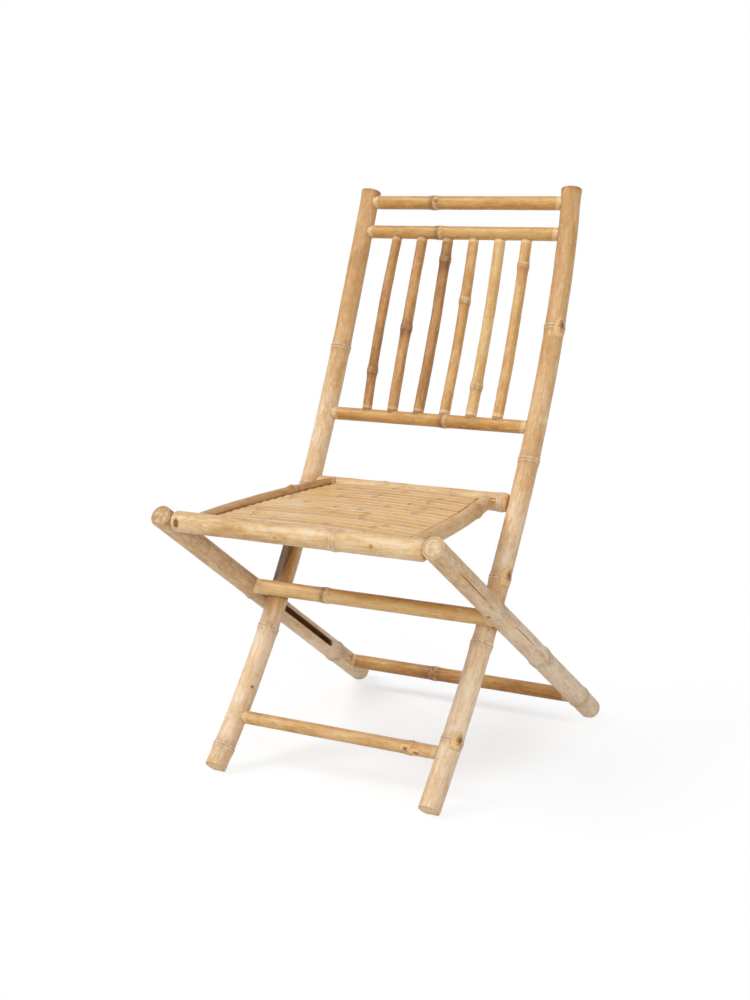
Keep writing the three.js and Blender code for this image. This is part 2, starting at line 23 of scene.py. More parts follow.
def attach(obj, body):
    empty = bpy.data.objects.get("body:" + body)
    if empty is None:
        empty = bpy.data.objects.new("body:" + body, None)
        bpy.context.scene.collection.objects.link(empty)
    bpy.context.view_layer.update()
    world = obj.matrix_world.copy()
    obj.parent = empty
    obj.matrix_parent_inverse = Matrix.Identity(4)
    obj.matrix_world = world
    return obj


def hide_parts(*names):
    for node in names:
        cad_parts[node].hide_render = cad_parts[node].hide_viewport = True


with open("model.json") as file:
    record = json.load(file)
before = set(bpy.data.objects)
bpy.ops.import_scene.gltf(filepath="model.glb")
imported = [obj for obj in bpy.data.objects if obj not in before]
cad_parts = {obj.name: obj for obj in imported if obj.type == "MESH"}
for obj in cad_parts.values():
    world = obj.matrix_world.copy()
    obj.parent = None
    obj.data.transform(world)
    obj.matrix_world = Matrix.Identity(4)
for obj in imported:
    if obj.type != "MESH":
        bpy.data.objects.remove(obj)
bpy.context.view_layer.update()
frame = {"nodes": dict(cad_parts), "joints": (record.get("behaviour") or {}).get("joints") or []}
log = logging.getLogger("chair")

UP = np.array([0.0, 0.0, 1.0])
ACROSS = np.array([1.0, 0.0, 0.0])
SIDES = (("left", 1), ("right", -1))
ATTRIBUTES = ("straight", "marks", "tone", "nodal")
FAR_FROM_KNOTS = 3.0
FAR_FROM_ENDS = 0.1
COPE_GAP = 0.0001
SHARP_ANGLE = math.radians(48)
Array = np.ndarray
Colour = tuple[float, float, float]
Triple = tuple[float, float, float]
Pair = tuple[float, float]


def rgb(code: str) -> Colour:
    """Turn a written colour into linear light.

    Args:
        code: Six hexadecimal digits, such as "d9bb8f".

    Returns:
        The red, green and blue parts as Blender's shaders want them.
    """
    parts = [int(code[k:k + 2], 16) / 255 for k in (0, 2, 4)]
    return tuple(p / 12.92 if p <= 0.04045 else ((p + 0.055) / 1.055) ** 2.4 for p in parts)


class Value:
    """What a socket gives inside a node tree. It takes part in sums like a plain number."""

    def __init__(self, tree: "Tree", socket: NodeSocket) -> None:
        """Keep the socket and the tree that it is in."""
        self.tree, self.socket = tree, socket

    def __add__(self, other: object) -> "Value":
        """The sum."""
        return self.tree.maths("ADD", self, other)

    def __sub__(self, other: object) -> "Value":
        """The difference."""
        return self.tree.maths("SUBTRACT", self, other)

    def __rsub__(self, other: object) -> "Value":
        """The difference from a plain number."""
        return self.tree.maths("SUBTRACT", other, self)

    def __mul__(self, other: object) -> "Value":
        """The product."""
        return self.tree.maths("MULTIPLY", self, other)

    def __truediv__(self, other: object) -> "Value":
        """The quotient."""
        return self.tree.maths("DIVIDE", self, other)

    def ramp(self, low: float, high: float, to_low: float = 0.0, to_high: float = 1.0) -> "Value":
        """Map smoothly from one range to another, and keep the result in the second.

        Args:
            low: Start of the first range.
            high: End of the first range.
            to_low: What low becomes.
            to_high: What high becomes.

        Returns:
            The mapped value.
        """
        inputs = {0: self, 1: low, 2: high, 3: to_low, 4: to_high}
        return self.tree.value("ShaderNodeMapRange", inputs, interpolation_type="SMOOTHSTEP", clamp=True)


class Tree:
    """Builds the nodes of a shader, a node group or a Geometry Nodes tree."""

    def __init__(self, tree: NodeTree) -> None:
        """Keep the tree that is built."""
        self.tree = tree

    @classmethod
    def of(cls, holder: ID) -> "Tree":
        """Empty the tree of a new material or world, and start to build it.

        Args:
            holder: The material or world.

        Returns:
            The tree.
        """
        holder.use_nodes = True
        holder.node_tree.nodes.clear()
        return cls(holder.node_tree)

    def feed(self, socket: NodeSocket, value: object) -> None:
        """Link a socket to an input, or set the input's own value.

        Args:
            socket: The input.
            value: A value of the tree, or a plain one.
        """
        if isinstance(value, Value):
            self.tree.links.new(value.socket, socket)
        elif isinstance(value, tuple) and len(value) == 3 and socket.type == "RGBA":
            socket.default_value = (*value, 1.0)
        else:
            socket.default_value = value

    def node(self, kind: str, inputs: Optional[dict] = None, **settings: object) -> Node:
        """Add a node.

        Args:
            kind: The node's type name.
            inputs: Values by input name or number.
            settings: Attributes of the node itself.

        Returns:
            The new node.
        """
        node = self.tree.nodes.new(kind)
        for name, value in settings.items():
            setattr(node, name, value)
        for key, value in (inputs or {}).items():
            self.feed(node.inputs[key], value)
        return node

    def value(self, kind: str, inputs: Optional[dict] = None, output: object = 0,
              **settings: object) -> Value:
        """Add a node and return one of its outputs, by its name or number."""
        return Value(self, self.node(kind, inputs, **settings).outputs[output])

    def outputs(self, kind: str, inputs: Optional[dict] = None, **settings: object) -> dict[str, Value]:
        """Add a node and return its outputs by name."""
        return {s.name: Value(self, s) for s in self.node(kind, inputs, **settings).outputs}

    def split(self, vector: Value) -> list[Value]:
        """The three numbers of a vector."""
        return list(self.outputs("ShaderNodeSeparateXYZ", {0: vector}).values())

    def joined(self, x: object, y: object, z: object) -> Value:
        """The vector of three numbers."""
        return self.value("ShaderNodeCombineXYZ", {0: x, 1: y, 2: z})

    def maths(self, operation: str, *values: object, clamp: bool = False) -> Value:
        """Add a Math node, with its inputs in order, and return its result."""
        return self.value("ShaderNodeMath", dict(enumerate(values)), operation=operation, use_clamp=clamp)

    def vector_maths(self, operation: str, *values: object, output: object = 0) -> Value:
        """Add a Vector Math node, with its inputs in order, and return its result."""
        return self.value("ShaderNodeVectorMath", dict(enumerate(values)), output, operation=operation)

    def most(self, *values: object) -> Value:
        """The greatest of some values."""
        return reduce(lambda first, second: self.maths("MAXIMUM", first, second), values)

    def mix(self, share: object, first: object, second: object) -> Value:
        """Mix two colours.

        Args:
            share: How much of the second colour, kept between 0 and 1.
            first: A colour.
            second: A colour.

        Returns:
            The mixed colour.
        """
        return self.value("ShaderNodeMix", {0: share, 6: first, 7: second}, 2, data_type="RGBA")

    def layered(self, base: str, layers: Iterable[tuple[object, str]]) -> Value:
        """Lay written colours over one another, each by its own share.

        Args:
            base: The lowest colour.
            layers: The share and the colour of each layer.

        Returns:
            The colour.
        """
        colour = rgb(base)
        for share, code in layers:
            colour = self.mix(share, colour, rgb(code))
        return colour

    def noise(self, place: Value, scale: float, detail: float = 2.0, roughness: float = 0.5,
              stretch: Triple = (1.0, 1.0, 1.0)) -> Value:
        """Add a noise texture.

        Args:
            place: The coordinates.
            scale: The noise's scale.
            detail: Its number of octaves.
            roughness: How strong the finer octaves are.
            stretch: The factor on the coordinates along each axis.

        Returns:
            The noise's value.
        """
        inputs = {"Vector": self.vector_maths("MULTIPLY", place, stretch), "Scale": scale, "Detail": detail,
                  "Roughness": roughness}
        return self.value("ShaderNodeTexNoise", inputs)

    def bumped(self, height: Value, strength: float, distance: float) -> Value:
        """The normal of a surface with fine relief."""
        return self.value("ShaderNodeBump", {"Strength": strength, "Distance": distance, "Height": height})

    def surface(self, shader: Node, output: str = "ShaderNodeOutputMaterial") -> None:
        """Link a shader to the tree's output."""
        self.tree.links.new(shader.outputs[0], self.node(output).inputs["Surface"])


class GroupMaker(Tree):
    """A node group with named sockets."""

    KINDS = {"float": "NodeSocketFloat", "vector": "NodeSocketVector", "int": "NodeSocketInt",
             "geometry": "NodeSocketGeometry", "material": "NodeSocketMaterial"}

    def __init__(self, name: str, kind: str, inputs: dict[str, str], outputs: dict[str, str]) -> None:
        """Make the empty group.

        Args:
            name: The group's name.
            kind: The tree's type, for shaders or for geometry.
            inputs: Socket kinds by name.
            outputs: Socket kinds by name.
        """
        super().__init__(bpy.data.node_groups.new(name, kind))
        for in_out, sockets in (("INPUT", inputs), ("OUTPUT", outputs)):
            for socket, socket_kind in sockets.items():
                self.tree.interface.new_socket(socket, in_out=in_out, socket_type=self.KINDS[socket_kind])
        self.given = self.outputs("NodeGroupInput")

    def giving(self, **results: Value) -> NodeTree:
        """Put the named results out and return the group."""
        self.node("NodeGroupOutput", results)
        return self.tree


class Effect(GroupMaker):
    """A shader group that reads a place on the straightened culm and puts out masks."""

    def __init__(self, name: str, masks: Sequence[str], numbers: Sequence[str] = ()) -> None:
        """Make the group with its masks as outputs, and the place and more numbers as inputs."""
        inputs = {"Place": "vector", **dict.fromkeys(numbers, "float")}
        super().__init__(name, "ShaderNodeTree", inputs, dict.fromkeys(masks, "float"))

    def grain(self, scale: float, detail: float = 2.0, roughness: float = 0.5, along: float = 1.0) -> Value:
        """Noise on the culm, drawn out along its fibres where the last factor is small."""
        return self.noise(self.given["Place"], scale, detail, roughness, (1.0, 1.0, along))


@dataclass(frozen=True)
class CulmEffects:
    """The shader groups that every bamboo finish uses."""

    fibre: NodeTree
    mottle: NodeTree
    scar: NodeTree
    knot: NodeTree
    cut: NodeTree

    @classmethod
    def make(cls) -> "CulmEffects":
        """Build the groups once."""
        return cls(cls._fibre(), cls._mottle(), cls._scar(), cls._knot(), cls._cut())

    @staticmethod
    def _fibre() -> NodeTree:
        """Fine fibres, broader streaks and short dashes that run along the culm.

        Returns:
            The group.
        """
        group = Effect("CulmFibre", ("Fibre", "Streak", "Dash"))
        short, where = group.grain(430.0, 2.0, 0.6, along=0.14), group.grain(60.0, 1.0, along=0.4)
        return group.giving(
            Fibre=group.grain(1500.0, 3.0, 0.6, along=0.02),
            Streak=group.grain(230.0, 4.0, 0.65, along=0.11).ramp(0.27, 0.75),
            Dash=short.ramp(0.6, 0.72) * where.ramp(0.4, 0.6))

    @staticmethod
    def _mottle() -> NodeTree:
        """Cloudy patches, small freckles, pale scratches and grime of the culm's skin.

        Returns:
            The group.
        """
        group = Effect("CulmMottle", ("Cloud", "Freckle", "Scratch", "Grime"))
        broad, blotch = group.grain(42.0, 3.0, 0.55, along=0.34), group.grain(150.0, 4.0, 0.7, along=0.5)
        dots, nicks = group.grain(520.0, 1.0, 0.4, along=0.5), group.grain(330.0, 0.0, along=0.22)
        where = group.grain(26.0)
        return group.giving(
            Cloud=(broad * 0.55 + blotch * 0.45).ramp(0.36, 0.64),
            Freckle=dots.ramp(0.7, 0.76) * where.ramp(0.5, 0.62),
            Scratch=nicks.ramp(0.765, 0.8) * where.ramp(0.52, 0.44),
            Grime=group.grain(95.0, 4.0, 0.7, along=0.15).ramp(0.56, 0.74))

    @staticmethod
    def _scar() -> NodeTree:
        """The pale band, dark line, shadow and stain of a node, by the distance from it.

        Returns:
            The group.
        """
        group = Effect("NodeScar", ("Band", "Line", "Shadow", "Stain"),
                       ("Distance", "Near", "Above", "Below"))
        given = group.given
        distance = given["Distance"] + (group.grain(260.0, along=0.3) * 0.004 - 0.002)
        soft_edge = 0.0012
        top = group.maths("DIVIDE", given["Above"] - distance, soft_edge, clamp=True)
        low = group.maths("DIVIDE", given["Below"] + distance, soft_edge, clamp=True)
        line = distance.ramp(-0.0010, -0.0004) * distance.ramp(0.0009, 0.0003)
        broken = group.grain(170.0).ramp(0.3, 0.5, 0.25)
        near = group.maths("ABSOLUTE", distance).ramp(0.02, 0.004)
        masks = {"Band": top * low, "Line": line * broken,
                 "Shadow": distance.ramp(-0.0105, -0.004) * distance.ramp(0.0, -0.0012),
                 "Stain": near * group.grain(150.0, 3.0, along=0.5).ramp(0.4, 0.6)}
        return group.giving(**{name: mask * given["Near"] for name, mask in masks.items()})

    @staticmethod
    def _knot() -> NodeTree:
        """The golden halo, faint rim and dark eye of a branch knot, by its own distance.

        Returns:
            The group.
        """
        group = Effect("BranchKnot", ("Halo", "Rim", "Eye"), ("Distance", "Centre"))
        ragged = group.grain(200.0, 3.0, 0.6) * 0.44 - 0.22
        distance = group.given["Distance"] + ragged
        centre = group.given["Centre"] + ragged * 1.2
        broken = group.grain(120.0).ramp(0.42, 0.6)
        rim = distance.ramp(0.84, 0.95) * distance.ramp(1.08, 1.0)
        swirl = centre.ramp(0.36, 0.46) * centre.ramp(0.66, 0.52) * (broken * 0.7)
        eye = group.most(centre.ramp(0.42, 0.16), swirl, centre.ramp(0.62, 0.3, 0.0, 0.6))
        return group.giving(Halo=distance.ramp(1.08, 0.82), Rim=rim * broken, Eye=eye)

    @staticmethod
    def _cut() -> NodeTree:
        """Vascular speckle, cloudy patches and the ring of a cut end, by the share of its radius.

        Returns:
            The group.
        """
        group = Effect("CutEnd", ("Speckle", "Shade", "Ring", "Bark"), ("Share",))
        flat = group.vector_maths("MULTIPLY", group.given["Place"], (1.0, 1.0, 0.4))
        cells = group.value("ShaderNodeTexVoronoi", {"Vector": flat, "Scale": 950.0}, "Distance")
        patch = group.grain(150.0, 4.0, 0.65, along=0.4)
        share = group.given["Share"] + (patch * 0.1 - 0.05)
        return group.giving(
            Speckle=cells.ramp(0.3, 0.12) * group.grain(420.0, along=0.4).ramp(0.42, 0.6),
            Shade=patch.ramp(0.35, 0.7),
            Ring=share.ramp(0.8, 0.86) * share.ramp(0.92, 0.87) * patch.ramp(0.3, 0.55, 0.3),
            Bark=share.ramp(0.88, 1.0))


@dataclass(frozen=True)
class BambooFinish:
    """One shade of dried culm skin, as colours written the way they look."""

    name: str
    skin: str
    pale: str
    deep: str
    stain: str = "8d6236"
    line: str = "7a5029"
    ring: str = "ecd4a6"
    cut: str = "dcb272"
    halo: str = "edc285"
    heart: str = "6a4022"
    # The darkest skin, where the shades go below -1. It mostly shows painted shadow, such as the seat's
    # shadow on the right post and the dark gap lines beside the slats.
    darkest_and_shadow: str = "6a4022"
    hollow: str = "4a3015"
    roughness: float = 0.5
    cloud_share: float = 0.55
    streak_share: float = 0.5
    grime_share: float = 0.3
    dash_share: float = 0.32
    band: float = 0.5
    band_above: float = 0.0045
    band_below: float = 0.004
    shadow: float = 0.1
    node_stain: float = 0.36
    line_share: float = 0.7
    eye_share: float = 0.95
    bump: float = 0.25

    def material(self, effects: CulmEffects) -> Material:
        """Build the finish.

        The mesh carries "straight", the place on the culm as if it were straight; "marks", the
        distances to the nearest node, to the nearest end and to the nearest knot; "tone", the
        shade, which holds the skin's own tone and also painted light and painted shade, the cut
        faces, and the cracks with the dark insides of holes, which are painted shade; and "nodal",
        how near a node is, and the distance from a knot's eye.

        Args:
            effects: The shared shader groups.

        Returns:
            The material.
        """
        material = bpy.data.materials.new(self.name)
        tree = Tree.of(material)
        place, marks, tone, nodal = (
            tree.value("ShaderNodeAttribute", None, "Vector", attribute_name=name) for name in ATTRIBUTES)
        near, eye_at, _ = tree.split(nodal)
        node_at, end_at, knot_at = tree.split(marks)
        shade, cut, crack = tree.split(tone)

        def effect(group: NodeTree, **inputs: object) -> dict[str, Value]:
            """Place a shared effect and return its masks."""
            return tree.outputs("ShaderNodeGroup", {"Place": place, **inputs}, node_tree=group)

        fibre, mottle = effect(effects.fibre), effect(effects.mottle)
        scar = effect(effects.scar, Distance=node_at, Near=near, Above=self.band_above, Below=self.band_below)
        knot = effect(effects.knot, Distance=knot_at, Centre=eye_at)
        ends = effect(effects.cut, Share=cut * -2.0 + 2.0)

        cloud, streak = mottle["Cloud"], fibre["Streak"]
        # The level takes the skin towards its pale colour above zero and its deep colour below: random cloud
        # and streaks, plus the shades, which hold the skin's own tone and painted light and painted shade.
        level = (cloud - 0.5) * self.cloud_share + (streak - 0.5) * self.streak_share + shade
        skin = tree.layered(self.skin, (
            (level, self.pale),
            (level * -1.0, self.deep),
            # Below -1 the skin turns to its darkest colour, which mostly paints shadow.
            ((level + 1.0) * -0.8, self.darkest_and_shadow),
            (fibre["Fibre"].ramp(0.56, 0.36, 0.0, 0.28), self.deep),
            (mottle["Grime"] * self.grime_share, self.stain),
            (fibre["Dash"] * self.dash_share, self.stain),
            (mottle["Freckle"] * 0.55, self.stain),
            (mottle["Scratch"] * 0.75, self.ring),
            (scar["Shadow"] * self.shadow, self.stain),
            (scar["Band"] * self.band, self.ring),
            (scar["Stain"] * self.node_stain, self.stain),
            (scar["Line"] * self.line_share, self.line),
            ((end_at + (cloud * 0.004 - 0.002)).ramp(0.0115, 0.0085, 0.0, 0.55), self.ring),
            (end_at.ramp(0.0015, 0.0003, 0.0, 0.65), self.line),
            (knot["Halo"] * 0.8, self.halo),
            (knot["Rim"] * 0.5, self.stain),
            (knot["Eye"] * self.eye_share, self.heart)))
        grain = tree.layered(self.cut, (
            (ends["Shade"] * 0.85, self.ring),
            (mottle["Grime"] * 0.35, self.stain),
            (shade * 0.6, self.pale),
            (shade * -0.6, self.deep),
            (ends["Bark"] * 0.6, self.deep),
            (ends["Ring"] * 0.7, self.line),
            (ends["Speckle"] * 0.5, self.heart)))
        inside = tree.layered(self.hollow, ((streak * 0.5, self.deep),))
        colour = tree.mix(cut.ramp(0.1, 0.45), skin, grain)
        colour = tree.mix(crack.ramp(0.15, 0.75), colour, inside)

        rough = cloud * -0.12 + (self.roughness + 0.06) + tree.most(cut, crack) * 0.25
        height = (fibre["Fibre"] * 0.5 - mottle["Freckle"] * 0.6 - scar["Line"] * 1.2
                  - ends["Speckle"] * cut - mottle["Grime"] * 0.3)
        tree.surface(tree.node("ShaderNodeBsdfPrincipled", {
            "Base Color": colour, "Roughness": rough, "Normal": tree.bumped(height, self.bump, 0.0005),
            "IOR": 1.45}))
        return material


class Path:
    """The centre line of a culm, measured by the distance along it."""

    STEPS = 600

    def __init__(self, controls: Sequence[Sequence[float]], reference: Array = ACROSS) -> None:
        """Sample a Bezier curve.

        Args:
            controls: Its two, three or four control points, in metres.
            reference: The direction in which a turn of 0 degrees lies.
        """
        knots = np.array(controls, float)
        order = len(knots) - 1
        t = np.linspace(0, 1, self.STEPS + 1)[:, None]
        self.points = self._bezier(knots, t)
        slope = self._bezier(order * np.diff(knots, axis=0), t)
        self.slopes = slope / np.linalg.norm(slope, axis=1)[:, None]
        steps = np.linalg.norm(np.diff(self.points, axis=0), axis=1)
        self.distances = np.concatenate([[0.0], np.cumsum(steps)])
        self.reference = reference

    @staticmethod
    def _bezier(knots: Array, t: Array) -> Array:
        """Sum the control points with their Bernstein weights."""
        order = len(knots) - 1
        return sum(math.comb(order, k) * t ** k * (1 - t) ** (order - k) * knots[k] for k in range(order + 1))

    @property
    def length(self) -> float:
        """The whole length in metres."""
        return float(self.distances[-1])

    def frame_at(self, distance: Array) -> tuple[Array, Array, Array, Array]:
        """Find the place and the directions at distances along the line.

        Args:
            distance: Distances in metres, in an array of any shape.

        Returns:
            The centres and the directions along, sideways and across, with one more axis each.
        """
        def read(table: Array) -> Array:
            """Read points or directions at the distances."""
            return np.stack([np.interp(distance, self.distances, table[:, k]) for k in range(3)], axis=-1)

        centre, along = read(self.points), read(self.slopes)
        over = distance - np.clip(distance, 0.0, self.length)
        centre = centre + over[..., None] * along
        sideways = self.reference - (along @ self.reference)[..., None] * along
        sideways /= np.linalg.norm(sideways, axis=-1)[..., None]
        return centre, along, sideways, np.cross(along, sideways)

    def place(self, distance: Array, turn: Array, radius: Array) -> Array:
        """Find points beside the line.

        Args:
            distance: Distances along the line.
            turn: Angles round it, in radians.
            radius: Distances from it.

        Returns:
            The points, with one more axis.
        """
        centre, _, sideways, across = self.frame_at(distance)
        return (centre + (radius * np.cos(turn))[..., None] * sideways
                + (radius * np.sin(turn))[..., None] * across)


@dataclass(frozen=True)
class Bell:
    """A bell curve: a swelling, a groove or a change of shade, with its middle and its reach."""

    rise: float
    at: float
    reach: float

    def over(self, place: Array) -> Array:
        """The curve's value at each place."""
        return self.rise * np.exp(-((place - self.at) / self.reach) ** 2)


@dataclass(frozen=True)
class Knot:
    """A branch knot, a small scar or a hole on a culm."""

    share: float
    turn: float
    half_across: float = 0.011
    half_along: float = 0.017
    rise: float = 0.0009


@dataclass(frozen=True)
class Crack:
    """A split in the skin along the fibres."""

    turn: float
    start: float
    end: float
    half_width: float = 0.0009
    depth: float = 0.0008


@dataclass(frozen=True)
class Shade:
    """A lighter or darker stretch of a culm, all round it or on one side. Some stretches are the skin's own
    tone; others are painted light and painted shade, for how light falls on the chair.
    """

    share: float
    reach: float
    change: float
    turn: Optional[float] = None
    narrow: float = 1.5


@dataclass(frozen=True)
class Carrier:
    """The round culm that a coped end fits against."""

    point: Sequence[float]
    axis: Sequence[float]
    radius: float


class EndForm(Enum):
    """How a culm ends."""

    CUT = "cut"
    ROUNDED = "rounded"
    COPED = "coped"


@dataclass(frozen=True)
class End:
    """One end of a culm: its form, and the edge's rounding or the culm that it fits against."""

    form: EndForm = EndForm.CUT
    edge: float = 0.0007
    carrier: Optional[Carrier] = None


def coped(point: Sequence[float], axis: Sequence[float], radius: float) -> End:
    """Make an end that fits against a round culm, with a hair's breadth between them.

    Args:
        point: A point on that culm's centre line.
        axis: The direction of that line.
        radius: That culm's radius.

    Returns:
        The end.
    """
    return End(EndForm.COPED, edge=0.0006, carrier=Carrier(point, axis, radius + COPE_GAP))


def plain_mesh(name: str, points: Array, faces: Iterable[Sequence[int]]) -> Mesh:
    """Make a smooth mesh from points and faces.

    Args:
        name: The mesh's name.
        points: One row for each vertex, in metres.
        faces: The vertex numbers of each face.

    Returns:
        The mesh.
    """
    mesh = bpy.data.meshes.new(name)
    mesh.from_pydata(points.tolist(), [], list(faces))
    mesh.update()
    return mesh


def in_scene(name: str, data: ID) -> Object:
    """Make an object of some data and link it to the scene.

    Args:
        name: Its name.
        data: Its mesh, curve, light or camera.

    Returns:
        The object.
    """
    item = bpy.data.objects.new(name, data)
    bpy.context.scene.collection.objects.link(item)
    return item


def baked(item: Object, modifier: Modifier) -> Mesh:
    """Keep an object with its modifier as a plain mesh, and remove the modifier and the object.

    Args:
        item: The object.
        modifier: Its only modifier.

    Returns:
        The mesh.
    """
    bpy.context.view_layer.update()
    depsgraph = bpy.context.evaluated_depsgraph_get()
    mesh = bpy.data.meshes.new_from_object(item.evaluated_get(depsgraph))
    item.modifiers.remove(modifier)
    bpy.data.objects.remove(item)
    return mesh


def add_piece(name: str, mesh: Mesh, material: Material, body: str,
              nodes: Sequence[str]) -> Object:
    """Put a finished mesh into the scene as a piece of the chair.

    Args:
        name: The piece's name.
        mesh: Its mesh, in the chair's own frame.
        material: Its finish.
        body: The body it moves with.
        nodes: The solids that it stands for.

    Returns:
        The object.
    """
    mesh.materials.clear()
    mesh.materials.append(material)
    mesh.polygons.foreach_set("material_index", np.zeros(len(mesh.polygons), np.int32))
    mesh.shade_smooth()
    mesh.set_sharp_from_angle(angle=SHARP_ANGLE)
    piece = in_scene(name, mesh)
    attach(piece, body)
    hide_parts(*nodes)
    log.info("%s: %d faces, rides on %s", name, len(mesh.polygons), body)
    return piece


@dataclass
class Culm:
    """A natural culm: a swept round body with nodes, knots, cracks and worked ends."""

    name: str
    path: Path
    radii: tuple[float, float]
    nodes: Sequence[float] = ()
    knots: Sequence[Knot] = ()
    cracks: Sequence[Crack] = ()
    shades: Sequence[Shade] = ()
    start: End = End()
    end: End = End()
    shortfall: float = 0.0
    node_rise: float = 0.0016
    wobble: float = 0.00022
    flare: float = 0.0
    columns: int = 64
    spacing: float = 0.005
    seed: int = 1
    on_floor: bool = False

    CAP_SHARES = (0.985, 0.93, 0.9, 0.87, 0.84, 0.81, 0.65, 0.4, 0.04)
    COPE_BLEND = 0.03
    COPE_STEPS = 200
    NODE_REACH = 0.03
    FLARE_REACH = 0.014
    NODE_FORM = (Bell(0.7, 0.0, 0.0075), Bell(0.28, 0.0019, 0.0016), Bell(-0.32, -0.0001, 0.0008))
    KNOT_RIM = Bell(0.28, 0.98, 0.09)
    KNOT_EYE = Bell(0.5, 0.0, 0.25)
    EYE_ACROSS, EYE_ALONG = 0.3, 0.12
    HOLE_EDGE, HOLE_CONTRAST = 0.85, 3
    CAP_RIDGE = Bell(0.0004, 0.87, 0.035)
    CAP_DISH = 0.0003
    # How far rings or columns are drawn closer together, and their distance there.
    NEAR_NODE, NEAR_END, NEAR_CRACK_END = (0.007, 0.0007), (0.008, 0.0016), (0.006, 0.002)
    BESIDE_CRACK = (math.radians(3.4), math.radians(0.55))
    KNOT_STEP = 0.16

    def __post_init__(self) -> None:
        """Draw the culm's own irregularities."""
        self.ends = ((True, self.start), (False, self.end))
        draw = np.random.default_rng(self.seed)
        self.length = self.path.length - self.shortfall
        waves = 5
        self.wave_length = draw.uniform(0.05, 0.3, waves)
        self.wave_turns = draw.integers(0, 3, waves)
        self.wave_phase = draw.uniform(0, 2 * math.pi, waves)
        self.wave_share = draw.uniform(0.3, 1.0, waves) / waves
        self.node_phase = draw.uniform(0, 2 * math.pi, max(1, len(self.nodes)))
        self.node_tilt = draw.uniform(0.0004, 0.0012, max(1, len(self.nodes)))
        self.offset = float(draw.uniform(0, 50))

    def _by_density(self, span: float, base: float, peaks: Sequence[tuple[float, float, float]],
                    wrap: bool = False) -> Array:
        """Spread values over a span, closer together near the peaks.

        Args:
            span: The whole span.
            base: The distance between values away from the peaks.
            peaks: The place, the reach and the distance between values of each peak.
            wrap: Whether the span's end meets its start.

        Returns:
            The values.
        """
        fine = np.linspace(0, span, 6001)
        density = np.full_like(fine, 1 / base)
        for at, reach, step in peaks:
            away = np.abs(fine - at)
            if wrap:
                away = np.minimum(away, span - away)
            density += np.exp(-(away / reach) ** 4) / step
        total = np.concatenate([[0.0], np.cumsum((density[1:] + density[:-1]) / 2) * (fine[1] - fine[0])])
        count = int(math.ceil(total[-1]))
        return np.interp(np.linspace(0, total[-1], count + 1), total, fine)

    def _places(self) -> Array:
        """Distances of the rings along the culm.

        Returns:
            The distances in metres.
        """
        peaks = [(share * self.length, *self.NEAR_NODE) for share in self.nodes]
        peaks += [(knot.share * self.length, 1.2 * knot.half_along, self.KNOT_STEP * knot.half_along)
                  for knot in self.knots]
        peaks += [(at, *self.NEAR_END) for at in (0.0, self.length)]
        for crack in self.cracks:
            peaks += [(at * self.length, *self.NEAR_CRACK_END) for at in (crack.start, crack.end)]
        rings = self._by_density(self.length, self.spacing, peaks)
        for first, edge in ((0.0, self.start.edge), (self.length, -self.end.edge)):
            quarter = np.linspace(0, math.pi / 2, 7)[:-1]
            inside = np.abs(rings - first) > abs(edge)
            rings = np.concatenate([rings[inside], first + edge * (1 - np.cos(quarter))])
        return np.unique(np.round(rings, 7))

    def _turns(self) -> Array:
        """Angles of the columns round the culm.

        Returns:
            The angles in radians.
        """
        circle = 2 * math.pi
        peaks = [(math.radians(crack.turn) % circle, *self.BESIDE_CRACK) for crack in self.cracks]
        for knot in self.knots:
            half = knot.half_across / self.radii[0]
            peaks.append((math.radians(knot.turn) % circle, 1.1 * half, self.KNOT_STEP * half))
        return self._by_density(circle, circle / self.columns, peaks, wrap=True)[:-1]

    def _cope(self, end: End, turns: Array, radius: Array, at_start: bool) -> Array:
        """Distance from the line's end at which each column leaves the carrier.

        Args:
            end: The coped end.
            turns: The columns' angles.
            radius: The columns' radii.
            at_start: Whether it is the start of the line.

        Returns:
            The distances in metres.
        """
        carrier = end.carrier
        reach = 2.2 * carrier.radius + 2 * float(radius.max())
        steps = np.linspace(0, reach, self.COPE_STEPS)[:, None] * np.ones_like(turns)
        where = steps if at_start else self.length - steps
        points = self.path.place(where, turns * np.ones_like(steps), radius * np.ones_like(steps))
        axis = np.array(carrier.axis, float)
        axis /= np.linalg.norm(axis)
        offset = points - np.array(carrier.point, float)
        offset = offset - (offset @ axis)[..., None] * axis
        outside = np.linalg.norm(offset, axis=-1) - carrier.radius
        inside = outside < 0
        last = np.where(inside.any(axis=0), self.COPE_STEPS - 1 - np.argmax(inside[::-1], axis=0), 0)
        last = np.minimum(last, self.COPE_STEPS - 2)
        column = np.arange(len(turns))
        low, high = outside[last, column], outside[last + 1, column]
        share = np.clip(-low / np.where(high - low == 0, 1, high - low), 0, 1)
        return (last + share) * reach / (self.COPE_STEPS - 1)

    def _waves(self, distance: Array, turn: Array) -> Array:
        """The slow unevenness of the skin, in metres.

        Args:
            distance: Distances along the culm.
            turn: Angles round it.

        Returns:
            The unevenness.
        """
        total = np.zeros(np.broadcast(distance, turn).shape)
        for length, turns, phase, share in zip(self.wave_length, self.wave_turns, self.wave_phase,
                                               self.wave_share):
            total += share * np.sin(2 * math.pi * distance / length + turns * turn + phase)
        return self.wobble * total

    def node_distance(self, distance: Array, turn: Array) -> Array:
        """Find the signed distance from the nearest node.

        Args:
            distance: Distances along the culm.
            turn: Angles round it, in radians.

        Returns:
            The distances in metres, above the node positive.
        """
        nearest = np.full(np.broadcast(distance, turn).shape, 1.0)
        for share, phase, tilt in zip(self.nodes, self.node_phase, self.node_tilt):
            sway = tilt * np.sin(turn + phase) + 0.3 * tilt * np.sin(3 * turn + 2 * phase)
            away = distance - (share * self.length + sway)
            nearest = np.where(np.abs(away) < np.abs(nearest), away, nearest)
        return nearest

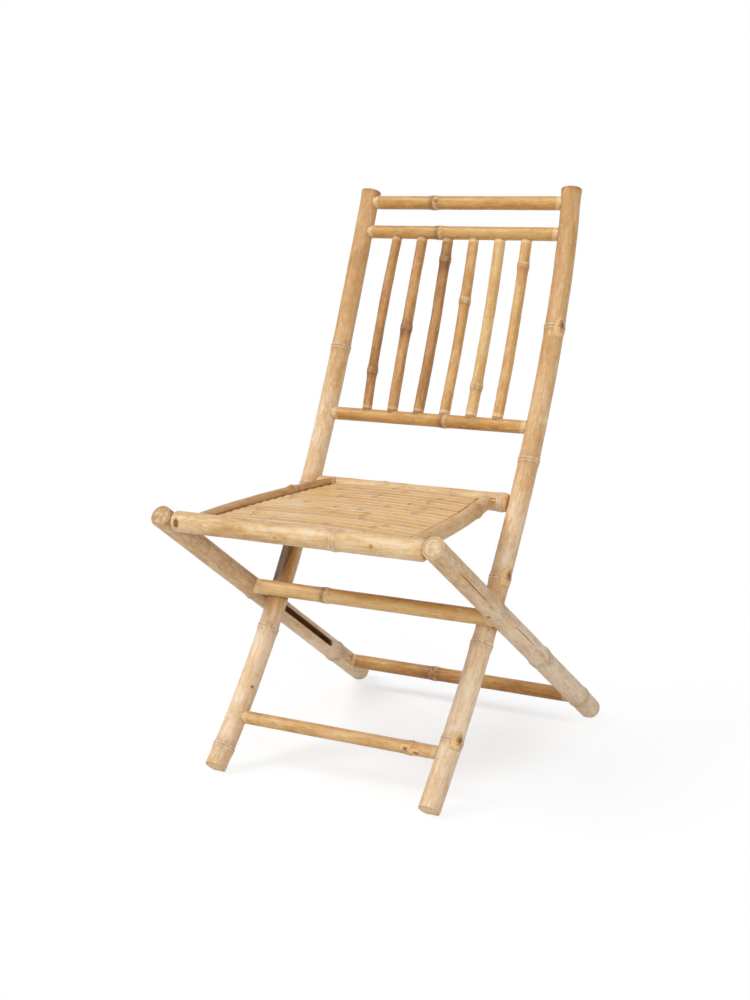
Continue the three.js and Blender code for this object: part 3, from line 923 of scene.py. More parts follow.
    def _from_knot(self, knot: Knot, distance: Array, turn: Array) -> Array:
        """The distance from one knot in its own half sizes."""
        across, along = self._beside_knot(knot, distance, turn)
        return np.hypot(across / (1 - 0.25 * np.clip(along, -1, 1)), along)

    def _beside_knot(self, knot: Knot, distance: Array,
                     turn: Array) -> tuple[Array, Array]:
        """How far a place is beside a knot's middle, across and along, in the knot's half sizes."""
        across = (turn - math.radians(knot.turn) + math.pi) % (2 * math.pi) - math.pi
        return (across * self.radii[0] / knot.half_across,
                (distance - knot.share * self.length) / knot.half_along)

    def eye_distance(self, distance: Array, turn: Array) -> Array:
        """Find how near each place is to a knot's eye, which lies beside the knot's middle.

        Args:
            distance: Distances along the culm.
            turn: Angles round it, in radians.

        Returns:
            The distance in half sizes of the nearest knot.
        """
        nearest = np.full(np.broadcast(distance, turn).shape, FAR_FROM_KNOTS)
        for knot in self.knots:
            across, along = self._beside_knot(knot, distance, turn)
            nearest = np.minimum(nearest, np.hypot(across - self.EYE_ACROSS, along - self.EYE_ALONG))
        return nearest

    def knot_distance(self, distance: Array, turn: Array) -> tuple[Array, Array]:
        """Find how near each place is to a knot.

        Args:
            distance: Distances along the culm.
            turn: Angles round it, in radians.

        Returns:
            The distance in half sizes of the nearest knot, and that knot's rise in metres.
        """
        nearest = np.full(np.broadcast(distance, turn).shape, FAR_FROM_KNOTS)
        rise = np.zeros_like(nearest)
        for knot in self.knots:
            q = self._from_knot(knot, distance, turn)
            rise = np.where(q < nearest, knot.rise, rise)
            nearest = np.minimum(nearest, q)
        return nearest, rise

    def crack_mask(self, distance: Array, turn: Array) -> tuple[Array, Array]:
        """Find where the skin is split.

        Args:
            distance: Distances along the culm.
            turn: Angles round it, in radians.

        Returns:
            A mask from 0 to 1, and the crack's depth in metres.
        """
        mask = np.zeros(np.broadcast(distance, turn).shape)
        depth = np.zeros_like(mask)
        for crack in self.cracks:
            start, end = crack.start * self.length, crack.end * self.length
            share = np.clip((distance - start) / (end - start), 0, 1)
            wander = math.radians(0.7) * np.sin(9 * share + crack.turn)
            across = (turn - math.radians(crack.turn) - wander + math.pi) % (2 * math.pi) - math.pi
            width = crack.half_width * np.sqrt(np.clip(4 * share * (1 - share), 0, 1)) + 1e-6
            here = np.clip(1.25 * (1 - (across * self.radii[0] / width) ** 2), 0, 1)
            here = np.where((share > 0) & (share < 1), here, 0)
            depth = np.where(here > mask, crack.depth, depth)
            mask = np.maximum(mask, here)
        return mask, depth

    def radius_at(self, distance: Array, turn: Array) -> Array:
        """Find the skin's radius.

        Args:
            distance: Distances along the culm.
            turn: Angles round it, in radians.

        Returns:
            The radii in metres.
        """
        share = np.clip(distance / self.length, 0, 1)
        radius = self.radii[0] + (self.radii[1] - self.radii[0]) * share + self._waves(distance, turn)
        if len(self.nodes):
            away = self.node_distance(distance, turn)
            radius = radius + self.node_rise * sum(bell.over(away) for bell in self.NODE_FORM)
        near, rise = self.knot_distance(distance, turn)
        dome = np.clip(1 - near ** 2, 0, 1) ** 1.5
        eye = self.KNOT_EYE.over(self.eye_distance(distance, turn))
        radius = radius + rise * (dome - self.KNOT_RIM.over(near) - eye)
        mask, depth = self.crack_mask(distance, turn)
        return radius + Bell(self.flare, self.length, self.FLARE_REACH).over(distance) - mask * depth

    def surface(self) -> tuple[Array, Array, Array, Array]:
        """Lay out the skin and the end faces as rings.

        Returns:
            Distances, angles and radii of the grid, and the mask of its cut faces.
        """
        turns = self._turns()
        distance = self._places()[:, None] * np.ones_like(turns)
        edge_from = {}
        for at_start, end in self.ends:
            if end.form is EndForm.COPED:
                radius = self.radius_at(np.full_like(turns, 0.0 if at_start else self.length), turns)
                away = self._cope(end, turns, radius, at_start)
                edge_from[at_start] = away
                blend = float(away.max()) + self.COPE_BLEND
                own = distance if at_start else self.length - distance
                moved = np.where(own < blend, away + own * (blend - away) / blend, own)
                distance = moved if at_start else self.length - moved
            else:
                edge_from[at_start] = np.zeros_like(turns)
        turn = turns * np.ones_like(distance)
        radius = self.radius_at(distance, turn)
        for at_start, end in self.ends:
            own = distance if at_start else self.length - distance
            away = np.clip((own - edge_from[at_start]) / end.edge, 0, 1)
            radius = radius - end.edge * (1 - np.sqrt(np.clip(1 - (1 - away) ** 2, 0, 1)))
        cut = np.zeros_like(radius)
        parts = [(distance, radius, cut)]
        for at_start, end in self.ends:
            rim = (distance[0], radius[0]) if at_start else (distance[-1], radius[-1])
            rings = []
            for share in self.CAP_SHARES:
                inner = rim[1] * share
                if end.form is EndForm.COPED:
                    away = self._cope(end, turns, inner, at_start)
                    where = away if at_start else self.length - away
                else:
                    dent = self.CAP_RIDGE.over(share) - self.CAP_DISH * (1 - share ** 2)
                    where = rim[0] + (dent if at_start else -dent)
                rings.append((where, inner, np.full_like(inner, 1 - 0.5 * share)))
            if at_start:
                rings.reverse()
            block = tuple(np.array([ring[k] for ring in rings]) for k in range(3))
            parts = [block, *parts] if at_start else [*parts, block]
        distance, radius, cut = (np.concatenate([part[k] for part in parts]) for k in range(3))
        return distance, turns * np.ones_like(distance), radius, cut

    def mesh(self) -> Mesh:
        """Build the closed mesh of the culm.

        Returns:
            The mesh, with the attributes that the finishes read.
        """
        distance, turn, radius, cut = self.surface()
        points = self.path.place(distance, turn, radius)
        rows, columns = radius.shape
        grid = np.arange(rows * columns).reshape(rows, columns)
        follow = np.roll(grid, -1, axis=1)
        quads = np.stack([grid[:-1], follow[:-1], follow[1:], grid[1:]], axis=-1).reshape(-1, 4)
        faces = quads.tolist() + [grid[0][::-1].tolist(), grid[-1].tolist()]
        points = points.reshape(-1, 3)
        if self.on_floor:
            points[:, 2] = np.maximum(points[:, 2], 0.0)
        mesh = plain_mesh(self.name, points, faces)
        self.mark(mesh, distance.ravel(), turn.ravel(), radius.ravel(), cut.ravel())
        return mesh

    def mark(self, mesh: Mesh, distance: Array, turn: Array, radius: Array,
             cut: Array, hollow: Optional[Array] = None) -> None:
        """Write the attributes that the finishes read.

        Args:
            mesh: The mesh whose vertices are described.
            distance: Their distances along the culm.
            turn: Their angles round it.
            radius: Their distances from its centre line.
            cut: The mask of cut faces.
            hollow: The mask of the dark inside, if the culm is opened.
        """
        straight = (radius * np.cos(turn), radius * np.sin(turn), distance + self.offset)
        node = self.node_distance(distance, turn)
        ends = [np.full_like(distance, FAR_FROM_ENDS)]
        for at_start, end in self.ends:
            if end.form is not EndForm.COPED:
                continue
            own = distance if at_start else self.length - distance
            ends.append(own - self._cope(end, turn, radius, at_start))
        from_knot = self.knot_distance(distance, turn)[0]
        crack = self.crack_mask(distance, turn)[0]
        # The inside of a hole is painted in the dark hollow colour over a shallow dent: painted shade of its
        # depth.
        for hole in (knot for knot in self.knots if knot.rise < 0):
            inside = self.HOLE_CONTRAST * (self.HOLE_EDGE - self._from_knot(hole, distance, turn))
            crack = np.maximum(crack, np.clip(inside, 0, 1))
        if hollow is not None:
            crack = np.maximum(crack, hollow)
        # Shades: the skin's own tone, and painted light and painted shade, such as darker undersides and the
        # seat's shadow.
        shade = np.zeros_like(distance)
        for patch in self.shades:
            change = Bell(patch.change, patch.share, patch.reach).over(distance / self.length)
            if patch.turn is not None:
                facing = 0.5 + 0.5 * np.cos(turn - math.radians(patch.turn))
                change = change * facing ** patch.narrow
            shade += change
        near = np.clip(2 - np.abs(node) / (0.5 * self.NODE_REACH), 0, 1)
        node = np.clip(node, -self.NODE_REACH, self.NODE_REACH)
        end = np.clip(np.min(ends, axis=0), 0, FAR_FROM_ENDS)
        rows = (straight, (node, end, from_knot), (shade, cut, crack),
                (near, self.eye_distance(distance, turn), 0 * near))
        for name, row in zip(ATTRIBUTES, rows):
            attribute = mesh.attributes.new(name, "FLOAT_VECTOR", "POINT")
            attribute.data.foreach_set("vector", np.stack(row, axis=-1).astype(np.float32).ravel())


class FormTree(GroupMaker):
    """A Geometry Nodes tree that turns its inputs into one finished, dressed mesh."""

    def __init__(self, name: str, sizes: Sequence[str], counts: Sequence[str]) -> None:
        """Make the tree with a start, its sizes and counts, and a material as inputs."""
        inputs = {"Geometry": "geometry", **dict.fromkeys(sizes, "float"), **dict.fromkeys(counts, "int"),
                  "Material": "material"}
        super().__init__(name, "GeometryNodeTree", inputs, {"Geometry": "geometry"})

    def rings(self, away: Value, bells: Sequence[Bell]) -> Value:
        """The rise of the skin at a distance from a node, as a share of the whole rise.

        Args:
            away: The distance.
            bells: The curves that are added up.

        Returns:
            The share.
        """
        total = None
        for bell in bells:
            scaled = (away - bell.at) / bell.reach
            rise = self.maths("EXPONENT", scaled * scaled * -1.0) * bell.rise
            total = total + rise if total else rise
        return total

    def captured(self, geometry: Value, **values: Value) -> tuple[Value, dict[str, Value]]:
        """Keep values of a curve's points for the mesh made from it.

        Args:
            geometry: The curve.
            values: The values by name.

        Returns:
            The curve, and the kept values by name.
        """
        node = self.node("GeometryNodeCaptureAttribute", {"Geometry": geometry}, domain="POINT")
        for name, value in values.items():
            node.capture_items.new("VECTOR" if value.socket.type == "VECTOR" else "FLOAT", name)
            self.feed(node.inputs[name], value)
        kept = {name: Value(self, node.outputs[name]) for name in values}
        return Value(self, node.outputs["Geometry"]), kept

    def swept(self, curve: Value, sides: object, radius: float, **inputs: object) -> tuple[Value, Value]:
        """Sweep a circle along a curve.

        Args:
            curve: The curve.
            sides: The number of the circle's sides.
            radius: The circle's radius.
            inputs: More inputs of the sweep by name.

        Returns:
            The mesh, and the angle round it.
        """
        circle = self.value("GeometryNodeCurvePrimitiveCircle", {
            "Resolution": sides, "Radius": radius}, "Curve")
        profile, kept = self.captured(circle, Turn=self.outputs("GeometryNodeSplineParameter")["Factor"])
        mesh = self.value("GeometryNodeCurveToMesh", {
            "Curve": curve, "Profile Curve": profile, "Fill Caps": True, **inputs})
        return mesh, kept["Turn"] * (2 * math.pi)

    def random(self, low: float, high: float, index: Value, seed: Value) -> Value:
        """A random number between two limits for each index.

        Args:
            low: The lower limit.
            high: The upper limit.
            index: The index.
            seed: The seed.

        Returns:
            The number.
        """
        node = self.node("FunctionNodeRandomValue", data_type="FLOAT")
        sockets = {s.identifier: s for s in node.inputs}
        for name, value in (("Min_001", low), ("Max_001", high), ("ID", index), ("Seed", seed)):
            self.feed(sockets[name], value)
        return Value(self, next(s for s in node.outputs if s.identifier == "Value_001"))

    def finished(self, mesh: Value, straight: tuple[object, object, object], away: Value, end_at: object,
                 shade: Value) -> NodeTree:
        """Store what the finishes read, realize the instances, set the material and close the tree.

        Args:
            mesh: The mesh.
            straight: Each place on the culm as if it were straight.
            away: The distance from the nearest node.
            end_at: The distance from the nearest end.
            shade: How much lighter or darker the skin is: its own tone, and on the slats a painted highlight.

        Returns:
            The tree.
        """
        reach = Culm.NODE_REACH
        node_at = self.maths("MINIMUM", self.most(away, -reach), reach)
        near = self.maths("ABSOLUTE", away).ramp(reach, 0.5 * reach)
        rows = (straight, (node_at, end_at, FAR_FROM_KNOTS), (shade, 0.0, 0.0), (near, FAR_FROM_KNOTS, 0.0))
        for name, row in zip(ATTRIBUTES, rows):
            mesh = self.value("GeometryNodeStoreNamedAttribute", {
                "Geometry": mesh, "Name": name, "Value": self.joined(*row)},
                data_type="FLOAT_VECTOR", domain="POINT")
        mesh = self.value("GeometryNodeRealizeInstances", {"Geometry": mesh})
        return self.giving(Geometry=self.value("GeometryNodeSetMaterial", {
            "Geometry": mesh, "Material": self.given["Material"]}))


THIN_CULM_NODE = (Bell(0.7, 0.0, 0.0085), Bell(0.28, 0.003, 0.0016), Bell(0.3, -0.0026, 0.0014))
SLAT_NODE = (Bell(0.7, 0.0, 0.004), Bell(1.0, 0.0016, 0.0011), Bell(-0.8, 0.0, 0.0008))
NODE_STAIN = (Bell(1.0, -0.009, 0.016),)


@cache
def culm_along_path() -> NodeTree:
    """Build the tree that sweeps a thin culm with one node along each spline of a curve.

    Returns:
        The tree.
    """
    tree = FormTree("CulmAlongPath", (
        "Radius", "Spacing", "Node Share", "Node Rise", "Waviness", "Shade", "Stain", "Offset", "Sunk"),
        ("Sides",))
    given = tree.given
    radius, offset = given["Radius"], given["Offset"]
    fine = tree.value("GeometryNodeResampleCurve", {
        "Curve": given["Geometry"], "Length": given["Spacing"]}, mode="LENGTH")
    turned = tree.value("GeometryNodeSetCurveNormal", {"Curve": fine, "Normal": (1.0, 0.0, 0.0)}, mode="FREE")
    spline = tree.outputs("GeometryNodeSplineParameter")
    curve, kept = tree.captured(
        turned, Along=spline["Length"], Share=spline["Factor"],
        Centre=tree.value("GeometryNodeInputPosition"),
        Whole=spline["Length"] / tree.most(spline["Factor"], 1e-6))
    swept, angle = tree.swept(curve, given["Sides"], 1.0, Scale=radius)
    cosine, sine = tree.maths("COSINE", angle), tree.maths("SINE", angle)
    tilt = tree.maths("SINE", angle + offset) * 0.0006
    away = (kept["Share"] - given["Node Share"]) * kept["Whole"] - tilt
    along = kept["Along"] + offset
    waves = tree.noise(tree.joined(cosine, sine, along * 14.0), 1.0) - 0.5
    rise = tree.rings(away, THIN_CULM_NODE) * given["Node Rise"] + waves * given["Waviness"]
    outward = tree.vector_maths("SUBTRACT", tree.value("GeometryNodeInputPosition"), kept["Centre"])
    shift = tree.value("ShaderNodeVectorMath", {0: outward, "Scale": rise / radius}, operation="SCALE")
    shaped = tree.value("GeometryNodeSetPosition", {"Geometry": swept, "Offset": shift})
    nearest_end = tree.maths("MINIMUM", kept["Along"], kept["Whole"] - kept["Along"])
    end_at = tree.most((nearest_end - given["Sunk"]) * 1.8, 0.0)
    dark = tree.rings(away, NODE_STAIN) * given["Stain"]
    return tree.finished(shaped, (cosine * radius, sine * radius, along), away, end_at, given["Shade"] - dark)


def split_slats() -> NodeTree:
    """Build the tree that lays a row of split slats across the seat.

    Returns:
        The tree.
    """
    tree = FormTree("SplitSlats", (
        "First", "Pitch", "Width", "Thickness", "Edge Thickness", "Top", "Crown", "Crown Half Width", "Front",
        "Depth", "Front Spread", "Middle Spread", "Rear Spread", "Front Radius", "Rear Radius", "End Gap",
        "Shift", "Node Rise", "Unevenness"), ("Count", "Seed"))
    given = tree.given
    rows = tree.value("GeometryNodeMeshLine", {
        "Count": given["Count"], "Start Location": tree.joined(0.0, given["First"], 0.0),
        "Offset": tree.joined(0.0, given["Pitch"], 0.0)}, mode="OFFSET")
    line = tree.value("GeometryNodeCurvePrimitiveLine", {"Start": (-1.0, 0.0, 0.0), "End": (1.0, 0.0, 0.0)})
    fine = tree.value("GeometryNodeResampleCurve", {"Curve": line, "Count": 121}, mode="COUNT")
    many = tree.value("GeometryNodeInstanceOnPoints", {"Points": rows, "Instance": fine})
    many = tree.value("GeometryNodeRealizeInstances", {"Geometry": many})
    curve, kept = tree.captured(many, Place=tree.value("GeometryNodeInputPosition"))
    share_along, row, _ = tree.split(kept["Place"])
    swept, angle = tree.swept(curve, 28, 0.001)
    cosine, sine = tree.maths("COSINE", angle), tree.maths("SINE", angle)
    index = tree.maths("ROUND", (row - given["First"]) / given["Pitch"])

    def draw(low: float, high: float, salt: float) -> Value:
        """A number of each slat's own between two limits."""
        return tree.random(low, high, index * 7.0 + salt, given["Seed"])

    share = (row - given["Front"]) / given["Depth"]
    rest = 1.0 - share
    spread = (rest * rest * given["Front Spread"] + share * rest * given["Middle Spread"] * 2.0
              + share * share * given["Rear Spread"])
    rail = rest * given["Front Radius"] + share * given["Rear Radius"]
    half = spread - rail - given["End Gap"] - draw(0.0, 0.0012, 1.0)
    x = share_along * half + given["Shift"]
    upper = tree.most(sine, 0.0)
    edge = tree.maths("MULTIPLY", upper, 3.0, clamp=True) * given["Edge Thickness"]
    back = upper * (given["Thickness"] - given["Edge Thickness"])
    first, second = (x - draw(low, high, salt) * half
                     for low, high, salt in ((-0.92, -0.05, 2.0), (0.1, 0.92, 6.0)))
    nearer = tree.maths("LESS_THAN", tree.maths("ABSOLUTE", first), tree.maths("ABSOLUTE", second))
    away = second + nearer * (first - second) + cosine * draw(-0.0012, 0.0012, 3.0)
    bend = (tree.noise(tree.joined(x * 9.0, index * 3.7, 0.0), 1.0, 1.0) - 0.5) * given["Unevenness"]
    outwards = x / given["Crown Half Width"]
    crown = (1.0 - outwards * outwards) * given["Crown"]
    height = edge + back + tree.rings(away, SLAT_NODE) * given["Node Rise"] * upper
    side = cosine * 0.5 * given["Width"]
    place = tree.joined(x, row + side + bend * 0.4, given["Top"] + crown - given["Thickness"] + height + bend)
    laid = tree.value("GeometryNodeSetPosition", {"Geometry": swept, "Position": place})
    # The rear half of each slat is painted pale and its front half golden: a painted highlight, for the
    # bright background reflected in the slats' rounded tops. Each slat's own tone is added.
    shade = cosine.ramp(-0.35, 0.3, -0.3, 1.15) * draw(0.6, 1.0, 5.0) + draw(-0.3, 0.3, 4.0)
    return tree.finished(laid, (side, height, x + index * 1.7), away, FAR_FROM_ENDS, shade)


def grown(name: str, data: ID, tree: NodeTree, **inputs: object) -> Mesh:
    """Run a Geometry Nodes tree and keep its result as a plain mesh.

    Args:
        name: The result's name.
        data: The curve or mesh that the tree starts from.
        tree: The tree.
        inputs: Its inputs by name, with "_" for a space.

    Returns:
        The mesh.
    """
    source = in_scene(name + "_form", data)
    modifier = source.modifiers.new("form", "NODES")
    modifier.node_group = tree
    sockets = {s.name: s.identifier for s in tree.interface.items_tree if s.in_out == "INPUT"}
    for key, value in inputs.items():
        modifier[sockets[key.replace("_", " ")]] = value
    mesh = baked(source, modifier)
    mesh.name = name
    return mesh


def line_data(name: str, lines: Sequence[Array]) -> Curve:
    """Make a curve of straight pieces.

    Args:
        name: The curve's name.
        lines: The points of each spline.

    Returns:
        The curve.
    """
    curve = bpy.data.curves.new(name, "CURVE")
    curve.dimensions = "3D"
    for points in lines:
        spline = curve.splines.new("POLY")
        spline.points.add(len(points) - 1)
        spline.points.foreach_set("co", np.column_stack([points, np.ones(len(points))]).ravel())
    return curve


@dataclass(frozen=True)
class Layout:
    """The chair's centre lines, placed by the two pivots of the seat."""

    front_pivot: Array
    rear_pivot: Array
    front_reach: float = 0.0562
    post_foot_spread: float = 0.196
    post_foot_handle: float = 0.394
    post_foot_lean: float = math.radians(44.3)
    post_top_handle: float = 0.286
    post_top_lean: float = math.radians(19.2)
    post_top: Pair = (0.537, 0.933)
    post_radii: Pair = (0.0177, 0.0165)
    foot_flat: float = 0.002
    post_edge: float = 0.0012
    leg_spread: float = 0.238
    leg_radii: Pair = (0.0175, 0.0189)
    leg_lean: float = math.radians(55.7)
    leg_past_rail: float = 0.016
    leg_edge: float = 0.006
    pin_distance: float = 0.31085
    pin_travel: float = 0.2525

    @classmethod
    def from_frame(cls) -> "Layout":
        """Read the pivots of the seat from the frame's joints."""
        found = {joint["name"]: np.array(joint["pos_m"], float) for joint in frame["joints"]
                 if "pos_m" in joint}
        return cls(found["leg_turn"], found["seat_fold"])

    def at(self, x: float, y: float, z: float) -> Array:
        """A point by its place beside the middle of the line between the posts' feet."""
        origin = self.front_pivot + np.array([0.0, self.front_reach, -self.front_pivot[2]])
        return origin + np.array([x, y, z])

    def foot_height(self, radius: float, lean: float, edge: float) -> float:
        """Height of a leaning culm's end when its lower edge is worn flat on the floor."""
        return (radius - edge) * math.sin(lean) + edge * (1 - math.cos(lean)) - self.foot_flat

    def post(self, side: int, top_spread: float, low_bow: float, high_bow: float) -> Path:
        """The centre line of a post, from its foot.

        Args:
            side: 1 for the left, -1 for the right.
            top_spread: Distance of its top from the middle.
            low_bow: How far its lower part bends outwards.
            high_bow: How far its upper part bends outwards.

        Returns:
            The path.
        """
        height = self.foot_height(self.post_radii[0], self.post_foot_lean, self.post_edge)
        foot = self.at(side * self.post_foot_spread, 0.0, height)
        top = self.at(side * top_spread, *self.post_top)
        low, high = (handle * np.array([0, math.sin(lean), math.cos(lean)]) for handle, lean in (
            (self.post_foot_handle, self.post_foot_lean), (-self.post_top_handle, self.post_top_lean)))
        return Path([foot, foot + low + side * low_bow * ACROSS, top + high + side * high_bow * ACROSS, top])

    @property
    def leg_along(self) -> Array:
        """The direction of the legs, downwards and back."""
        return np.array([0.0, math.sin(self.leg_lean), -math.cos(self.leg_lean)])

    def leg_point(self, side: int, distance: float) -> Array:
        """The point of a leg's centre line at a distance from the front seat rail."""
        return self.front_pivot + distance * self.leg_along + side * self.leg_spread * ACROSS

    def leg_distance(self, height: float) -> float:
        """The distance along the leg at which its centre line has a height."""
        return (self.front_pivot[2] - height) / math.cos(self.leg_lean)

    def leg(self, side: int) -> Path:
        """The centre line of a leg, from its top end."""
        foot = self.leg_distance(self.foot_height(self.leg_radii[1], self.leg_lean, self.leg_edge))
        return Path([self.leg_point(side, -self.leg_past_rail), self.leg_point(side, foot)])


def on_path(path: Path, radii: Sequence[float], height: float) -> tuple[Array, Array, float]:
    """Find a rising path's point at a height.

    Args:
        path: The path.
        radii: The culm's radii at the path's ends.
        height: The height.

    Returns:
        The point, the direction there and the culm's radius there.
    """
    distance = np.interp(height, path.points[:, 2], path.distances)
    centre, along, _, _ = path.frame_at(np.array(distance))
    return centre, along, radii[0] + (radii[1] - radii[0]) * distance / path.length


@dataclass(frozen=True)
class DowelFinish:
    """Plain turned wood of the hidden pivots."""

    name: str = "dowel_wood"
    light: str = "b48a54"
    dark: str = "7f5a30"

    def material(self) -> Material:
        """Build the finish from places on the chair itself.

        Returns:
            The material.
        """
        material = bpy.data.materials.new(self.name)
        tree = Tree.of(material)
        place = tree.outputs("ShaderNodeTexCoord")["Object"]
        grain = tree.noise(place, 700.0, 3.0, stretch=(0.05, 1.0, 1.0))
        tree.surface(tree.node("ShaderNodeBsdfPrincipled", {
            "Base Color": tree.layered(self.light, ((grain.ramp(0.3, 0.7), self.dark),)), "Roughness": 0.6,
            "Normal": tree.bumped(grain, 0.2, 0.0004)}))
        return material


class Finishes:
    """Every finish of the chair, built once."""

    def __init__(self) -> None:
        """Build the shared effects and the materials."""
        effects = CulmEffects.make()
        # The posts' darkest colour paints the seat's shadow and the thin contact shadows under the cross
        # rail.
        self.post = BambooFinish(
            "pale_bamboo_skin", "d7ac76", "f5debf", "b6834b", stain="a36c38", line="8f5f33", cut="d9a65e",
            ring="f2dfc4", darkest_and_shadow="4a2e0e", roughness=0.48, cloud_share=0.75).material(effects)
        # Its hollow colour also fills the hole near the front seat rail's end, as painted shade of the hole's
        # depth.
        self.seat_rail = BambooFinish(
            "ivory_bamboo_skin", "e4bf8c", "f6e3c2", "bb8a52", stain="a8733e", line="94623a", cut="d9a65e",
            ring="f4e0c4", halo="c98f52", roughness=0.44, cloud_share=0.9, streak_share=0.6,
            grime_share=0.35, band=0.6, hollow="5a3519").material(effects)
        self.rail = BambooFinish(
            "golden_bamboo_skin", "d1a05a", "eac58a", "9c6830", line="7a4a22", ring="edd3a6", halo="b37f45",
            heart="70461f", darkest_and_shadow="70461f", roughness=0.4, cloud_share=0.65, band=0.42, band_above=0.008,
            band_below=0.0, shadow=0.6, eye_share=0.7).material(effects)
        self.leg = BambooFinish(
            "grey_bamboo_skin", "dbb688", "f8e0c1", "a67e50", stain="8a6238", line="86603a", cut="c69c64",
            ring="eed8b8", roughness=0.54, cloud_share=0.85, grime_share=0.5,
            hollow="9a6029").material(effects)
        self.side_rail = BambooFinish(
            "brown_bamboo_skin", "d9ac72", "eecd9e", "99682f", stain="7b5228", ring="e6c898",
            roughness=0.46, cloud_share=0.7, streak_share=0.6, grime_share=0.4).material(effects)
        self.brown_spindle = BambooFinish(
            "tan_bamboo_skin", "c08d51", "dcb27a", "8d5c2f", stain="835429", line="6a4220", ring="dfba84",
            roughness=0.44, cloud_share=0.8, streak_share=0.6, band=0.45, band_above=0.005, band_below=0.005,
            shadow=0.5, node_stain=0.6, line_share=0.3, dash_share=0.45).material(effects)
        self.spindle = BambooFinish(
            "honey_bamboo_skin", "d2a262", "ebcb92", "a06d36", stain="936033", line="7d5028", ring="efd2a4",
            roughness=0.42, cloud_share=0.8, streak_share=0.6, band_above=0.006, band_below=0.006,
            shadow=0.3, node_stain=0.5, line_share=0.3, dash_share=0.45).material(effects)
        # The slats' pale lilac grey is mostly the colour of the painted highlight on their rear halves.
        self.slat = BambooFinish(
            "split_bamboo_skin", "ecbc6c", "ecdacd", "c18a44", stain="a0662c", line="6a3c18", ring="cf9650",
            roughness=0.33, cloud_share=0.42, streak_share=0.45, grime_share=0.08, dash_share=0.12,
            band_above=0.010, band_below=0.0, shadow=0.0, node_stain=0.12,
            line_share=0.95).material(effects)
        self.dowel = DowelFinish().material()


